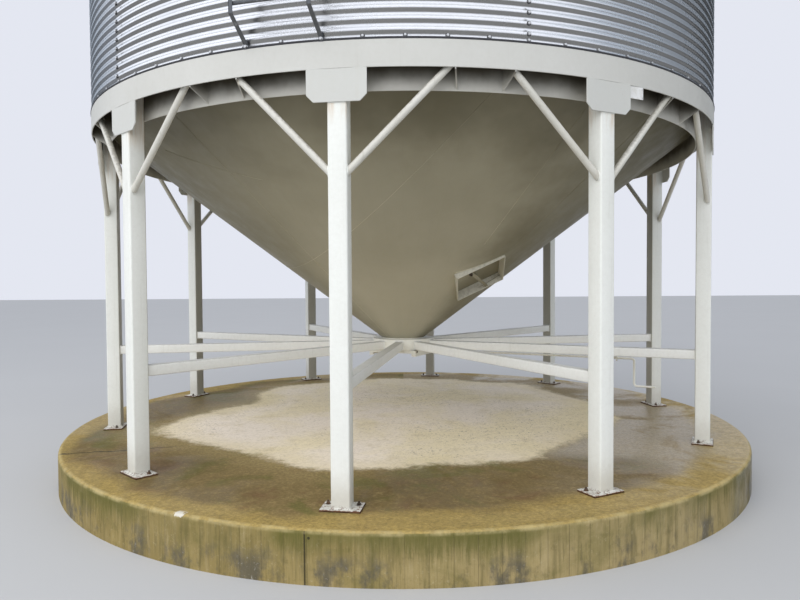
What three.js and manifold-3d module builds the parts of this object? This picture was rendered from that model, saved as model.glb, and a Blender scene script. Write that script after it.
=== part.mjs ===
// Hopper-bottom grain silo on ten legs, standing on a round concrete plinth.
// Millimetres, +Z up. The origin is the centre of the plinth's underside, at ground level.
// An azimuth is counted in degrees from -Y (the front) towards +X.
import * as THREE from "three";
import { mergeVertices } from "three/addons/utils/BufferGeometryUtils.js";
import Module from "manifold-3d";

const wasm = await Module();
wasm.setup();

// Driving dimensions
const GAP = 0.3;
const SEGMENTS = 72;

const PLINTH_RADIUS = 3032;
const PLINTH_HEIGHT = 300;
const PLINTH_CHAMFER = 15;
const PAD = PLINTH_HEIGHT;

const RING_RADIUS = 2750;
const RING_PLATE = 8;
const RING_BOTTOM = PAD + 2512;
const RING_TOP = PAD + 2666;
const RING_DEPTH = 125.5;
const RING_SKIRT_BOTTOM = PAD + 2414;
const UPRIGHT_OUTER = 2728;
const UPRIGHT_THICKNESS = 6;
const UPRIGHT_HEIGHT = 70;

// The ten legs stand a little unevenly: the azimuth of each, and how far the ring's stiffeners
// on its left and on its right lie from its middle plane
const LEGS = [
  { azimuth: -7.7, left: 616, right: 665 },
  { azimuth: 27.1, left: 635, right: 635 },
  { azimuth: 64.3, left: 696, right: 650 },
  { azimuth: 99.7, left: 650, right: 650 },
  { azimuth: 135.8, left: 650, right: 650 },
  { azimuth: 172, left: 650, right: 650 },
  { azimuth: 207.8, left: 650, right: 650 },
  { azimuth: 244.4, left: 650, right: 650 },
  { azimuth: 280.7, left: 650, right: 650 },
  { azimuth: 317, left: 650, right: 712 },
];
const LEG_SIZE = 113;
const LEG_OUTER = 2738;
const LEG_CENTRE = LEG_OUTER - LEG_SIZE / 2;
const LEG_INNER = LEG_OUTER - LEG_SIZE;
const FOOT_LENGTH = 240;
const FOOT_DEPTH = 155;
const FOOT_THICKNESS = 12;
const GUSSET_WIDTH = 350;
const GUSSET_HEIGHT = 185;
const GUSSET_CHAMFER = 40;
const GUSSET_FACE = 2747.5;

const BRACE_RADIUS = 21.2;
const BRACE_SIDES = 12;
// A point on a brace's middle line at the leg's side, and how it goes on: sideways, inwards and up
const BRACE_START = [LEG_SIZE / 2, -2706, PAD + 1944];
const BRACE_RUN = [654, 85, 670];
const STIFFENER_PLATE = 8;

const TIE_SIZE = 76;
const TIE_BOTTOM = PAD + 672;

const HUB_RADIUS = 300;
const HUB_PLATE = 10;
const HUB_FLANGE = 8;
const HUB_BOTTOM = PAD + 666;
const HUB_TOP = PAD + 767;

const CONE_SLOPE = 37;
const CONE_APEX = PAD + 616;
const CONE_THICKNESS = 5;
const OUTLET_RADIUS = 192;
const OUTLET_WALL = 8;

const WALL_RADIUS = 2742;
const WALL_THICKNESS = 12;
const WALL_RINGS = 5;
const WALL_RING_HEIGHT = 1120;
const WALL_BOTTOM = RING_TOP + GAP;
const EAVE = WALL_BOTTOM + WALL_RINGS * WALL_RING_HEIGHT;

const ROOF_SLOPE = 30;
const ROOF_THICKNESS = 6;
const ROOF_OVERHANG = 48;
const ROOF_PANELS = 24;
const ROOF_HOLE_RADIUS = 375;
const ROOF_REST = 1.8;
const RIB_WIDTH = 70;
const RIB_CROWN = 36;
const RIB_HEIGHT = 38;
const RIB_INNER_RADIUS = 470;

const LADDER_AZIMUTH = -14.3;
const LADDER_HALF_WIDTH = 232;
const LADDER_RAIL_DEPTH = 40;
const LADDER_RAIL_THICKNESS = 10;
const LADDER_OFFSET = 2897;
const LADDER_FOOT = PAD + 2684;
const LADDER_BEND = PAD + 2803;
const LADDER_FIRST_RUNG = PAD + 2862;
const LADDER_HEADROOM = 320;
const RUNG_SPACING = 300;
const RUNG_RADIUS = 10;

const GATE_AZIMUTH = LEGS[2].azimuth;
const GATE_PLATE_TOP = PAD + 656;
const GATE_PLATE_THICKNESS = 6;
const GATE_PLATE_HALF_WIDTH = 233.5;
const GATE_PLATE_NEAR = -214;
const GATE_PLATE_FAR = 325;
const FRAME_HALF_WIDTH = 245;
const FRAME_PLATE = 6;
const FRAME_NEAR = -246;
const FRAME_FAR = 770;
const FRAME_TOP = HUB_BOTTOM - GAP;
const FRAME_BOTTOM = PAD + 609;
const FRAME_BAR_HEIGHT = 30;
const FRAME_LIP_TOP = PAD + 644.5;
const FRAME_LIP_WIDTH = 42;
const SHAFT_OFFSET = 300;
const SHAFT_HEIGHT = PAD + 620;
const SHAFT_RADIUS = 10;
const SHAFT_INNER_END = 285;
const SHAFT_CLEARANCE = 2;
const PINION_TEETH = 10;
const PINION_PITCH_RADIUS = 20;
const PINION_WIDTH = 24;
const RACK_OFFSET = 180;
const RACK_NEAR = -175;
const RACK_WIDTH = 26;
const CRANK_REACH = 2126;
const CRANK_ARM = 244;
const CRANK_HANDLE = 176;
const BRACKET_REACH = 1977;
const BRACKET_WIDTH = 44;
const BRACKET_PLATE = 8;

const HATCH_AZIMUTH = 44;
const HATCH_RADIUS = 970.7;
const HATCH_TURN = 43.3;
const HATCH_WIDTH = 460;
const HATCH_HEIGHT = 440;
const HATCH_PROUD = 23;
const HATCH_INSIDE = 75;
const HATCH_DOOR_DEPTH = 82;
const HATCH_PLATE = 6;

const SIGN_NEAR = 150;
const SIGN_FAR = 292;
const SIGN_BOTTOM = PAD + 2436;
const SIGN_PLATE = 2.5;

// Colours
const PAINT = new THREE.MeshStandardMaterial({ color: 0xd3d1c6, roughness: 0.55, metalness: 0.1 });
const CONE_PAINT = new THREE.MeshStandardMaterial({ color: 0xc9c5b6, roughness: 0.6, metalness: 0.1 });
const GALVANISED = new THREE.MeshStandardMaterial({ color: 0xb4bac0, roughness: 0.35, metalness: 0.85 });
const BARE_STEEL = new THREE.MeshStandardMaterial({ color: 0x6f6a62, roughness: 0.5, metalness: 0.7 });
const CONCRETE = new THREE.MeshStandardMaterial({ color: 0xa39a7c, roughness: 0.9, metalness: 0 });
const PLATE_WHITE = new THREE.MeshStandardMaterial({ color: 0xe8e8e4, roughness: 0.4, metalness: 0 });

const silo = new THREE.Group();

function radians(degrees) {
  return degrees * Math.PI / 180;
}

function tan(degrees) {
  return Math.tan(radians(degrees));
}

// A copy of a geometry with only positions, shared vertices merged and empty triangles left out
function closed(geometry) {
  const bare = new THREE.BufferGeometry();
  bare.setAttribute("position", geometry.getAttribute("position").clone());
  if (geometry.index) bare.setIndex(geometry.index.clone());
  const merged = mergeVertices(bare, 1e-3);
  const source = merged.index.array;
  const kept = [];
  for (let i = 0; i < source.length; i += 3) {
    const [a, b, c] = [source[i], source[i + 1], source[i + 2]];
    if (a !== b && b !== c && c !== a) kept.push(a, b, c);
  }
  merged.setIndex(kept);
  return merged;
}

function toSolid(geometry) {
  const shape = closed(geometry);
  const vertProperties = new Float32Array(shape.getAttribute("position").array);
  const triVerts = new Uint32Array(shape.index.array);
  return new wasm.Manifold(new wasm.Mesh({ numProp: 3, vertProperties, triVerts }));
}

function toGeometry(solid) {
  const mesh = solid.getMesh();
  const geometry = new THREE.BufferGeometry();
  geometry.setAttribute("position", new THREE.BufferAttribute(mesh.vertProperties, 3));
  geometry.setIndex(new THREE.BufferAttribute(mesh.triVerts, 1));
  geometry.computeVertexNormals();
  return geometry;
}

function join(...geometries) {
  const [first, ...others] = geometries.map(toSolid);
  return toGeometry(others.reduce((solid, other) => solid.add(other), first));
}

function cut(geometry, ...tools) {
  return toGeometry(tools.map(toSolid).reduce((solid, tool) => solid.subtract(tool), toSolid(geometry)));
}

function overlap(geometry, tool) {
  return toGeometry(toSolid(geometry).intersect(toSolid(tool)));
}

// A block between two corners
function block(x0, x1, y0, y1, z0, z1) {
  const geometry = new THREE.BoxGeometry(x1 - x0, y1 - y0, z1 - z0);
  return geometry.translate((x0 + x1) / 2, (y0 + y1) / 2, (z0 + z1) / 2);
}

// A closed outline of [radius, height] points, counter-clockwise, turned about the Z axis
function revolve(outline, segments = SEGMENTS) {
  const points = outline.map(([r, z]) => new THREE.Vector2(r, z));
  if (outline[0][0] > 0) points.push(points[0].clone());
  return new THREE.LatheGeometry(points, segments).rotateX(Math.PI / 2);
}

// A round bar between two points
function bar(from, to, radius, sides) {
  const start = new THREE.Vector3(...from);
  const end = new THREE.Vector3(...to);
  const along = end.clone().sub(start);
  const geometry = new THREE.CylinderGeometry(radius, radius, along.length(), sides);
  const turn = new THREE.Quaternion().setFromUnitVectors(new THREE.Vector3(0, 1, 0), along.normalize());
  geometry.applyQuaternion(turn);
  return geometry.translate(...start.add(end).multiplyScalar(0.5).toArray());
}

// An outline of [y, z] points in the radial plane, made width thick and centred on x
function plateAlongX(outline, x, width) {
  const shape = new THREE.Shape(outline.map(([y, z]) => new THREE.Vector2(y, z)));
  const geometry = new THREE.ExtrudeGeometry(shape, { depth: width, bevelEnabled: false });
  geometry.rotateX(Math.PI / 2).rotateZ(Math.PI / 2);
  return geometry.translate(x - width / 2, 0, 0);
}

function add(name, geometry, material, azimuth = 0) {
  const mesh = new THREE.Mesh(closed(geometry), material.clone());
  mesh.name = name;
  mesh.rotation.z = radians(azimuth);
  silo.add(mesh);
  return mesh;
}

function numbered(name, index) {
  return `${name}_${String(index + 1).padStart(2, "0")}`;
}

// Round concrete plinth with a small chamfer round its top edge
function plinth() {
  return revolve([
    [0, 0],
    [PLINTH_RADIUS, 0],
    [PLINTH_RADIUS, PLINTH_HEIGHT - PLINTH_CHAMFER],
    [PLINTH_RADIUS - PLINTH_CHAMFER, PLINTH_HEIGHT],
    [0, PLINTH_HEIGHT],
  ]);
}

// Knee brace on one side of a leg at the front, up to the stiffener at the given x
function kneeBrace(x) {
  const side = Math.sign(x);
  const alongRun = (share) => BRACE_START.map((start, i) => (start + share * BRACE_RUN[i]) * (i ? 1 : side));
  const low = alongRun(-LEG_SIZE / 4 / BRACE_RUN[0]);
  const high = alongRun((Math.abs(x) - BRACE_START[0] + BRACE_RADIUS) / BRACE_RUN[0]);
  const edge = Math.abs(x) - STIFFENER_PLATE / 2 - GAP;
  const room = block(0, edge, -2 * LEG_OUTER, 0, PAD, RING_TOP - RING_PLATE - GAP);
  if (side < 0) room.translate(-edge, 0, 0);
  return overlap(bar(low, high, BRACE_RADIUS, BRACE_SIDES), room);
}

// The plate that closes the leg's head, flush with the ring's outer band
function headGusset() {
  const half = GUSSET_WIDTH / 2;
  const top = RING_BOTTOM - GAP;
  const bottom = top - GUSSET_HEIGHT;
  const shape = new THREE.Shape([
    new THREE.Vector2(-half, top),
    new THREE.Vector2(-half, bottom + GUSSET_CHAMFER),
    new THREE.Vector2(-half + GUSSET_CHAMFER, bottom),
    new THREE.Vector2(half - GUSSET_CHAMFER, bottom),
    new THREE.Vector2(half, bottom + GUSSET_CHAMFER),
    new THREE.Vector2(half, top),
  ]);
  const thickness = GUSSET_FACE - LEG_OUTER + GAP;
  const plate = new THREE.ExtrudeGeometry(shape, { depth: thickness, bevelEnabled: false });
  return plate.rotateX(Math.PI / 2).translate(0, thickness - GUSSET_FACE, 0);
}

// Leg post with its foot plate, head gusset and two knee braces, at the front of the silo
function leg({ left, right }) {
  const half = LEG_SIZE / 2;
  const head = RING_TOP - RING_PLATE - GAP;
  const foot = PAD + GAP;
  const post = block(-half, half, -LEG_OUTER, -LEG_INNER, foot, head);
  const plate = block(
    -FOOT_LENGTH / 2, FOOT_LENGTH / 2,
    -LEG_CENTRE - FOOT_DEPTH / 2, -LEG_CENTRE + FOOT_DEPTH / 2,
    foot, foot + FOOT_THICKNESS,
  );
  return join(post, plate, headGusset(), kneeBrace(-left), kneeBrace(right));
}

// Square tube from the hub to a leg
function tieBeam() {
  const half = TIE_SIZE / 2;
  return block(-half, half, -LEG_INNER + GAP, -HUB_RADIUS - GAP, TIE_BOTTOM, TIE_BOTTOM + TIE_SIZE);
}

// Plate inside the ring beam at the given x of a leg at the front, with a sloping lower edge
function stiffener(x) {
  const bite = 3;
  const inner = Math.sqrt((RING_RADIUS - RING_DEPTH - bite) ** 2 - x ** 2);
  const outer = Math.sqrt((RING_RADIUS - RING_PLATE + bite) ** 2 - x ** 2);
  return plateAlongX([
    [-outer, RING_TOP - RING_PLATE + 1],
    [-outer, RING_BOTTOM - 8],
    [-inner, RING_SKIRT_BOTTOM + 8],
    [-inner, RING_TOP - RING_PLATE + 1],
  ], x, STIFFENER_PLATE);
}

// Ring beam: outer band, top plate, deep inner skirt and the upright flange behind the wall
function ringBeam() {
  const outer = RING_RADIUS;
  const inner = RING_RADIUS - RING_DEPTH;
  const shelf = RING_TOP - RING_PLATE;
  const profile = revolve([
    [outer, RING_BOTTOM],
    [outer, RING_TOP],
    [UPRIGHT_OUTER, RING_TOP],
    [UPRIGHT_OUTER, RING_TOP + UPRIGHT_HEIGHT],
    [UPRIGHT_OUTER - UPRIGHT_THICKNESS, RING_TOP + UPRIGHT_HEIGHT],
    [UPRIGHT_OUTER - UPRIGHT_THICKNESS, RING_TOP],
    [inner - RING_PLATE, RING_TOP],
    [inner - RING_PLATE, RING_SKIRT_BOTTOM],
    [inner, RING_SKIRT_BOTTOM],
    [inner, shelf],
    [outer - RING_PLATE, shelf],
    [outer - RING_PLATE, RING_BOTTOM],
  ]);
  const stiffeners = [];
  for (const { azimuth, left, right } of LEGS) {
    const pair = [stiffener(-left), stiffener(right)];
    stiffeners.push(...pair.map((plate) => plate.rotateZ(radians(azimuth))));
  }
  return join(profile, ...stiffeners);
}

function coneHeight(radius) {
  return CONE_APEX + radius * tan(CONE_SLOPE);
}

// Hopper cone, a thin shell from the ring's skirt down to the outlet, with the hatch opening
function hopperCone() {
  const low = OUTLET_RADIUS - OUTLET_WALL / 2;
  const high = RING_RADIUS - RING_DEPTH - RING_PLATE - GAP;
  const rise = CONE_THICKNESS / Math.cos(radians(CONE_SLOPE));
  const shell = revolve([
    [low, coneHeight(low)],
    [high, coneHeight(high)],
    [high, coneHeight(high) + rise],
    [low, coneHeight(low) + rise],
  ]);
  return cut(shell, ontoCone(hatchBlock(GAP, -2 * HATCH_INSIDE, 2 * HATCH_INSIDE)));
}

// Round outlet pipe between the cone and the slide gate
function outletCollar() {
  const inner = OUTLET_RADIUS - OUTLET_WALL;
  const bottom = GATE_PLATE_TOP + 5.5;
  const top = coneHeight(inner + OUTLET_WALL / 2) - GAP;
  return revolve([[OUTLET_RADIUS, bottom], [OUTLET_RADIUS, top], [inner, top], [inner, bottom]]);
}

// Hub: a round plate ring with a top flange under the cone, where the tie beams meet
function hubRing() {
  const bore = (HUB_TOP + 2 * GAP - CONE_APEX) / tan(CONE_SLOPE);
  return revolve([
    [HUB_RADIUS, HUB_BOTTOM],
    [HUB_RADIUS, HUB_TOP],
    [bore, HUB_TOP],
    [bore, HUB_TOP - HUB_FLANGE],
    [HUB_RADIUS - HUB_PLATE, HUB_TOP - HUB_FLANGE],
    [HUB_RADIUS - HUB_PLATE, HUB_BOTTOM],
  ]);
}

// Gate frame: two side rails with lips under the gate, two shallow end bars and two bearing plates
function gateFrame() {
  const side = FRAME_HALF_WIDTH;
  const barBottom = FRAME_TOP - FRAME_BAR_HEIGHT;
  const parts = [
    block(FRAME_NEAR, FRAME_NEAR + FRAME_PLATE, -side, side, barBottom, FRAME_TOP),
    block(FRAME_FAR - FRAME_PLATE, FRAME_FAR, -side, side, barBottom, FRAME_TOP),
  ];
  const bearingHalf = 34;
  const bearingBottom = SHAFT_HEIGHT - 32;
  for (const y of [-side, side - FRAME_PLATE]) {
    const lip = y < 0 ? y : side - FRAME_LIP_WIDTH;
    parts.push(
      block(FRAME_NEAR, FRAME_FAR, y, y + FRAME_PLATE, FRAME_BOTTOM, FRAME_TOP),
      block(FRAME_NEAR, FRAME_FAR, lip, lip + FRAME_LIP_WIDTH, FRAME_LIP_TOP - 5, FRAME_LIP_TOP),
      block(FRAME_NEAR, FRAME_NEAR + FRAME_PLATE, lip, lip + FRAME_LIP_WIDTH, FRAME_BOTTOM, FRAME_TOP),
      block(SHAFT_OFFSET - bearingHalf, SHAFT_OFFSET + bearingHalf, y, y + FRAME_PLATE,
        bearingBottom, FRAME_LIP_TOP),
    );
  }
  const reach = side + 20;
  const bore = bar([SHAFT_OFFSET, reach, SHAFT_HEIGHT], [SHAFT_OFFSET, -reach, SHAFT_HEIGHT],
    SHAFT_RADIUS + SHAFT_CLEARANCE, 24);
  return cut(join(...parts), bore);
}

const toothPitch = 2 * Math.PI * PINION_PITCH_RADIUS / PINION_TEETH;
const TOOTH = { rootHalf: 3.3, pitchHalf: 2.35, tipHalf: 1.3, addendum: 3.2, dedendum: 4 };

// Rack under the gate plate: teeth point down, with a gap above the pinion's middle at rest
function rack(y) {
  const pitchLine = SHAFT_HEIGHT + PINION_PITCH_RADIUS;
  const root = pitchLine + TOOTH.dedendum;
  const tip = pitchLine - TOOTH.addendum;
  const far = GATE_PLATE_FAR - 5;
  const near = RACK_NEAR;
  const top = GATE_PLATE_TOP - GATE_PLATE_THICKNESS + 1;
  const outline = [[far, top], [near, top], [near, root]];
  const first = Math.ceil((near + TOOTH.rootHalf - SHAFT_OFFSET) / toothPitch - 0.5);
  for (let k = first; ; k++) {
    const middle = SHAFT_OFFSET + (k + 0.5) * toothPitch;
    if (middle + TOOTH.rootHalf > far) break;
    outline.push([middle - TOOTH.rootHalf, root], [middle - TOOTH.tipHalf, tip]);
    outline.push([middle + TOOTH.tipHalf, tip], [middle + TOOTH.rootHalf, root]);
  }
  outline.push([far, root]);
  const shape = new THREE.Shape(outline.map(([x, z]) => new THREE.Vector2(x, z)));
  const geometry = new THREE.ExtrudeGeometry(shape, { depth: RACK_WIDTH, bevelEnabled: false });
  return geometry.rotateX(Math.PI / 2).translate(0, y + RACK_WIDTH / 2, 0);
}

// Sliding gate plate with its two racks
function slideGate() {
  const plate = block(
    GATE_PLATE_NEAR, GATE_PLATE_FAR,
    -GATE_PLATE_HALF_WIDTH, GATE_PLATE_HALF_WIDTH,
    GATE_PLATE_TOP - GATE_PLATE_THICKNESS, GATE_PLATE_TOP,
  );
  return join(plate, rack(-RACK_OFFSET), rack(RACK_OFFSET));
}

// Pinion on the shaft under one rack, one tooth pointing straight up at rest
function pinion(y) {
  const levels = [
    [PINION_PITCH_RADIUS - TOOTH.dedendum, TOOTH.rootHalf],
    [PINION_PITCH_RADIUS, TOOTH.pitchHalf],
    [PINION_PITCH_RADIUS + TOOTH.addendum, TOOTH.tipHalf],
  ];
  const points = [];
  for (let i = 0; i < PINION_TEETH; i++) {
    const middle = Math.PI / 2 + i * 2 * Math.PI / PINION_TEETH;
    for (const [r, half] of levels) {
      const angle = middle - half / r;
      points.push(new THREE.Vector2(r * Math.cos(angle), r * Math.sin(angle)));
    }
    for (const [r, half] of [...levels].reverse()) {
      const angle = middle + half / r;
      points.push(new THREE.Vector2(r * Math.cos(angle), r * Math.sin(angle)));
    }
  }
  const shape = new THREE.Shape(points);
  const bore = new THREE.Path();
  bore.absarc(0, 0, SHAFT_RADIUS + GAP, 0, 2 * Math.PI, true);
  shape.holes.push(bore);
  const settings = { depth: PINION_WIDTH, bevelEnabled: false, curveSegments: 8 };
  const gear = new THREE.ExtrudeGeometry(shape, settings);
  return gear.rotateX(Math.PI / 2).translate(SHAFT_OFFSET, y + PINION_WIDTH / 2, SHAFT_HEIGHT);
}

// Crank: one round bar, shaft, arm and handle, with balls at its two bends
function gateCrank() {
  const low = SHAFT_HEIGHT - CRANK_ARM;
  const path = [
    [SHAFT_OFFSET, SHAFT_INNER_END, SHAFT_HEIGHT],
    [SHAFT_OFFSET, -CRANK_REACH, SHAFT_HEIGHT],
    [SHAFT_OFFSET, -CRANK_REACH, low],
    [SHAFT_OFFSET, -CRANK_REACH - CRANK_HANDLE, low],
  ];
  const pieces = [];
  for (let i = 0; i < path.length - 1; i++) {
    pieces.push(bar(path[i], path[i + 1], SHAFT_RADIUS, 12));
    if (i > 0) pieces.push(new THREE.SphereGeometry(SHAFT_RADIUS, 12, 8).translate(...path[i]));
  }
  return join(...pieces);
}

// Strap from the underside of a tie beam out to the crank shaft, with its bearing tab
function crankBracket() {
  const y0 = -BRACKET_REACH - BRACKET_WIDTH / 2;
  const y1 = y0 + BRACKET_WIDTH;
  const top = TIE_BOTTOM - GAP;
  const tab = 26;
  const strap = block(-TIE_SIZE / 2, SHAFT_OFFSET + tab, y0, y1, top - BRACKET_PLATE, top);
  const middle = (y0 + y1) / 2;
  const ear = block(SHAFT_OFFSET - tab, SHAFT_OFFSET + tab, middle - BRACKET_PLATE / 2,
    middle + BRACKET_PLATE / 2, SHAFT_HEIGHT - tab, top);
  const bore = bar([SHAFT_OFFSET, y0, SHAFT_HEIGHT], [SHAFT_OFFSET, y1, SHAFT_HEIGHT],
    SHAFT_RADIUS + SHAFT_CLEARANCE, 24);
  return cut(join(strap, ear), bore);
}

// Turns a shape drawn flat, with +Z out of the cone and +Y up the slope, onto the hopper's side
function ontoCone(geometry) {
  geometry.rotateZ(radians(HATCH_TURN));
  geometry.rotateX(Math.PI - radians(CONE_SLOPE));
  geometry.translate(0, -HATCH_RADIUS, coneHeight(HATCH_RADIUS));
  return geometry.rotateZ(radians(HATCH_AZIMUTH));
}

// A block over the hatch's outline, larger by margin all round, between two heights
function hatchBlock(margin, z0, z1) {
  const x = HATCH_WIDTH / 2 + margin;
  const y = HATCH_HEIGHT / 2 + margin;
  return block(-x, x, -y, y, z0, z1);
}

// Sheet frame round the hatch, let into the hopper and standing a little proud of it
function hatchFrame() {
  const box = hatchBlock(0, -HATCH_INSIDE, HATCH_PROUD);
  const hole = hatchBlock(-HATCH_PLATE, -HATCH_INSIDE - 10, HATCH_PROUD + 10);
  return ontoCone(cut(box, hole));
}

// Hatch door set deep in its frame, with a slanting clamp bar held off it by a stud
function hatchDoor() {
  const margin = -HATCH_PLATE - GAP;
  const face = HATCH_PROUD - HATCH_DOOR_DEPTH;
  const panel = hatchBlock(margin, face - 5, face);
  const barWidth = 26;
  const barTop = HATCH_PROUD - 6;
  const barBottom = barTop - 8;
  const slant = 21;
  const longBar = block(-barWidth / 2, barWidth / 2, -HATCH_HEIGHT, HATCH_HEIGHT, barBottom, barTop);
  longBar.rotateZ(radians(slant)).translate(-16, 0, 0);
  const clamp = overlap(longBar, hatchBlock(margin, barBottom - 1, barTop + 1));
  const stud = bar([-16, 0, face - 2], [-16, 0, barBottom + 2], 9, 16);
  return ontoCone(join(panel, clamp, stud));
}

// Small blank plate fixed behind the edge of a head gusset
function signPlate() {
  const face = -LEG_OUTER + 2 * GAP;
  return block(SIGN_NEAR, SIGN_FAR, face, face + SIGN_PLATE, SIGN_BOTTOM, RING_BOTTOM - 2 * GAP);
}

// One course of the round wall
function wallRing(index) {
  const bottom = WALL_BOTTOM + index * WALL_RING_HEIGHT;
  const top = bottom + WALL_RING_HEIGHT - GAP;
  const inner = WALL_RADIUS - WALL_THICKNESS;
  return revolve([[WALL_RADIUS, bottom], [WALL_RADIUS, top], [inner, top], [inner, bottom]]);
}

function roofUnderside(radius) {
  return EAVE + ROOF_REST + (WALL_RADIUS - radius) * tan(ROOF_SLOPE);
}

function roofTop(radius) {
  return roofUnderside(radius) + ROOF_THICKNESS / Math.cos(radians(ROOF_SLOPE));
}

// Conical roof of panels with a raised rib between each two
function roofShell() {
  const radii = [WALL_RADIUS + ROOF_OVERHANG, RIB_INNER_RADIUS, RIB_INNER_RADIUS - 8, ROOF_HOLE_RADIUS];
  const step = 360 / ROOF_PANELS;
  const vertices = [];
  const faces = [];
  const columns = [];
  for (let p = 0; p < ROOF_PANELS; p++) {
    const rib = LADDER_AZIMUTH + step / 2 + p * step;
    columns.push([rib, -RIB_WIDTH / 2, 0], [rib, -RIB_CROWN / 2, RIB_HEIGHT]);
    columns.push([rib, RIB_CROWN / 2, RIB_HEIGHT], [rib, RIB_WIDTH / 2, 0]);
    columns.push([rib + step / 3, 0, 0], [rib + 2 * step / 3, 0, 0]);
  }
  const ringSize = 2 * radii.length;
  for (const [azimuth, shift, height] of columns) {
    for (let k = 0; k < ringSize; k++) {
      const onTop = k < radii.length;
      const r = onTop ? radii[k] : radii[ringSize - 1 - k];
      const ribHere = onTop && r >= RIB_INNER_RADIUS ? height : 0;
      const angle = radians(azimuth) + shift / Math.max(r, RIB_INNER_RADIUS);
      const z = (onTop ? roofTop(r) : roofUnderside(r)) + ribHere;
      vertices.push(r * Math.sin(angle), -r * Math.cos(angle), z);
    }
  }
  for (let c = 0; c < columns.length; c++) {
    const next = (c + 1) % columns.length;
    for (let k = 0; k < ringSize; k++) {
      const [a, b] = [c * ringSize + k, c * ringSize + (k + 1) % ringSize];
      const [d, e] = [next * ringSize + k, next * ringSize + (k + 1) % ringSize];
      faces.push(a, d, e, a, e, b);
    }
  }
  const geometry = new THREE.BufferGeometry();
  geometry.setAttribute("position", new THREE.Float32BufferAttribute(vertices, 3));
  geometry.setIndex(faces);
  return geometry;
}

const COLLAR_INNER = 378;
const COLLAR_WALL = 6;
const COLLAR_TOP = roofTop(COLLAR_INNER) + 150;

// Filling collar at the peak, standing on the roof
function peakCollar() {
  const outer = COLLAR_INNER + COLLAR_WALL;
  const skirt = RIB_INNER_RADIUS - 15;
  const rest = 0.4;
  return revolve([
    [skirt, roofTop(skirt) + rest],
    [skirt, roofTop(skirt) + rest + COLLAR_WALL],
    [outer, roofTop(outer) + rest + COLLAR_WALL],
    [outer, COLLAR_TOP],
    [COLLAR_INNER, COLLAR_TOP],
    [COLLAR_INNER, roofTop(COLLAR_INNER) + rest],
  ]);
}

// Shallow conical cap over the filling collar, with a turned-down edge
function peakCap() {
  const collarOuter = COLLAR_INNER + COLLAR_WALL;
  const edge = collarOuter + 26;
  const sheet = 5;
  const drop = 50;
  const under = (radius) => COLLAR_TOP + GAP + (collarOuter - radius) * 0.25;
  return revolve([
    [0, under(0)],
    [edge - sheet, under(edge - sheet)],
    [edge - sheet, under(edge) - drop],
    [edge, under(edge) - drop],
    [edge, under(edge) + sheet],
    [0, under(0) + sheet],
  ]);
}

// Roof hatch: a low box with a lid that laps over it, between two roof ribs
function roofHatch() {
  const middle = 2120;
  const halfWidth = 190;
  const halfLength = 215;
  const height = 95;
  const lidEdge = 16;
  const box = block(-halfWidth, halfWidth, -halfLength, halfLength, 0, height);
  const lid = block(-halfWidth - lidEdge, halfWidth + lidEdge, -halfLength - lidEdge, halfLength + lidEdge,
    height - 20, height + 6);
  const hatch = join(box, lid).rotateX(radians(ROOF_SLOPE));
  const lift = 1;
  return hatch.translate(0, -middle, roofTop(middle) + lift);
}

// Side rail of the ladder, bent back to the wall at its foot, with stand-off arms
function ladderRail(side) {
  const outer = -LADDER_OFFSET - LADDER_RAIL_DEPTH / 2;
  const inner = outer + LADDER_RAIL_DEPTH;
  const wall = -Math.sqrt(WALL_RADIUS ** 2 - (LADDER_HALF_WIDTH - LADDER_RAIL_THICKNESS) ** 2) - 2 * GAP;
  const top = EAVE + LADDER_HEADROOM;
  const x = side * LADDER_HALF_WIDTH;
  const rail = plateAlongX([
    [inner, top],
    [outer, top],
    [outer, LADDER_BEND],
    [wall - 25, LADDER_FOOT - 15],
    [wall, LADDER_FOOT - 15],
    [wall, LADDER_FOOT + 25],
    [inner, LADDER_BEND + 12],
  ], x, LADDER_RAIL_THICKNESS);
  const arms = [];
  const half = LADDER_RAIL_THICKNESS / 2;
  for (let i = 1; i <= WALL_RINGS; i++) {
    const z = WALL_BOTTOM + i * WALL_RING_HEIGHT - 120;
    arms.push(block(x - half, x + half, inner - 5, wall, z, z + 40));
  }
  return join(rail, ...arms);
}

// Wall ladder from above the ring beam to past the eave
function wallLadder() {
  const rungs = [];
  for (let z = LADDER_FIRST_RUNG; z < EAVE + LADDER_HEADROOM - 60; z += RUNG_SPACING) {
    const from = [-LADDER_HALF_WIDTH, -LADDER_OFFSET, z];
    const to = [LADDER_HALF_WIDTH, -LADDER_OFFSET, z];
    rungs.push(bar(from, to, RUNG_RADIUS, 8));
  }
  return join(ladderRail(-1), ladderRail(1), ...rungs);
}

add("plinth", plinth(), CONCRETE);
LEGS.forEach((place, i) => {
  add(numbered("leg", i), leg(place), PAINT, place.azimuth);
  add(numbered("tie_beam", i), tieBeam(), PAINT, place.azimuth);
});
add("ring_beam", ringBeam(), PAINT);
add("hopper_cone", hopperCone(), CONE_PAINT);
add("outlet_collar", outletCollar(), CONE_PAINT);
add("hub_ring", hubRing(), PAINT);
add("gate_frame", gateFrame(), PAINT, GATE_AZIMUTH);
add("slide_gate", slideGate(), BARE_STEEL, GATE_AZIMUTH);
add("gate_crank", gateCrank(), PAINT, GATE_AZIMUTH);
add("gate_pinion_01", pinion(-RACK_OFFSET), BARE_STEEL, GATE_AZIMUTH);
add("gate_pinion_02", pinion(RACK_OFFSET), BARE_STEEL, GATE_AZIMUTH);
add("crank_bracket", crankBracket(), PAINT, GATE_AZIMUTH);
add("hatch_frame", hatchFrame(), PAINT);
add("hatch_door", hatchDoor(), CONE_PAINT);
add("sign_plate", signPlate(), PLATE_WHITE, LEGS[1].azimuth);
for (let i = 0; i < WALL_RINGS; i++) {
  add(numbered("wall_ring", i), wallRing(i), GALVANISED);
}
add("roof_shell", roofShell(), GALVANISED);
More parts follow.
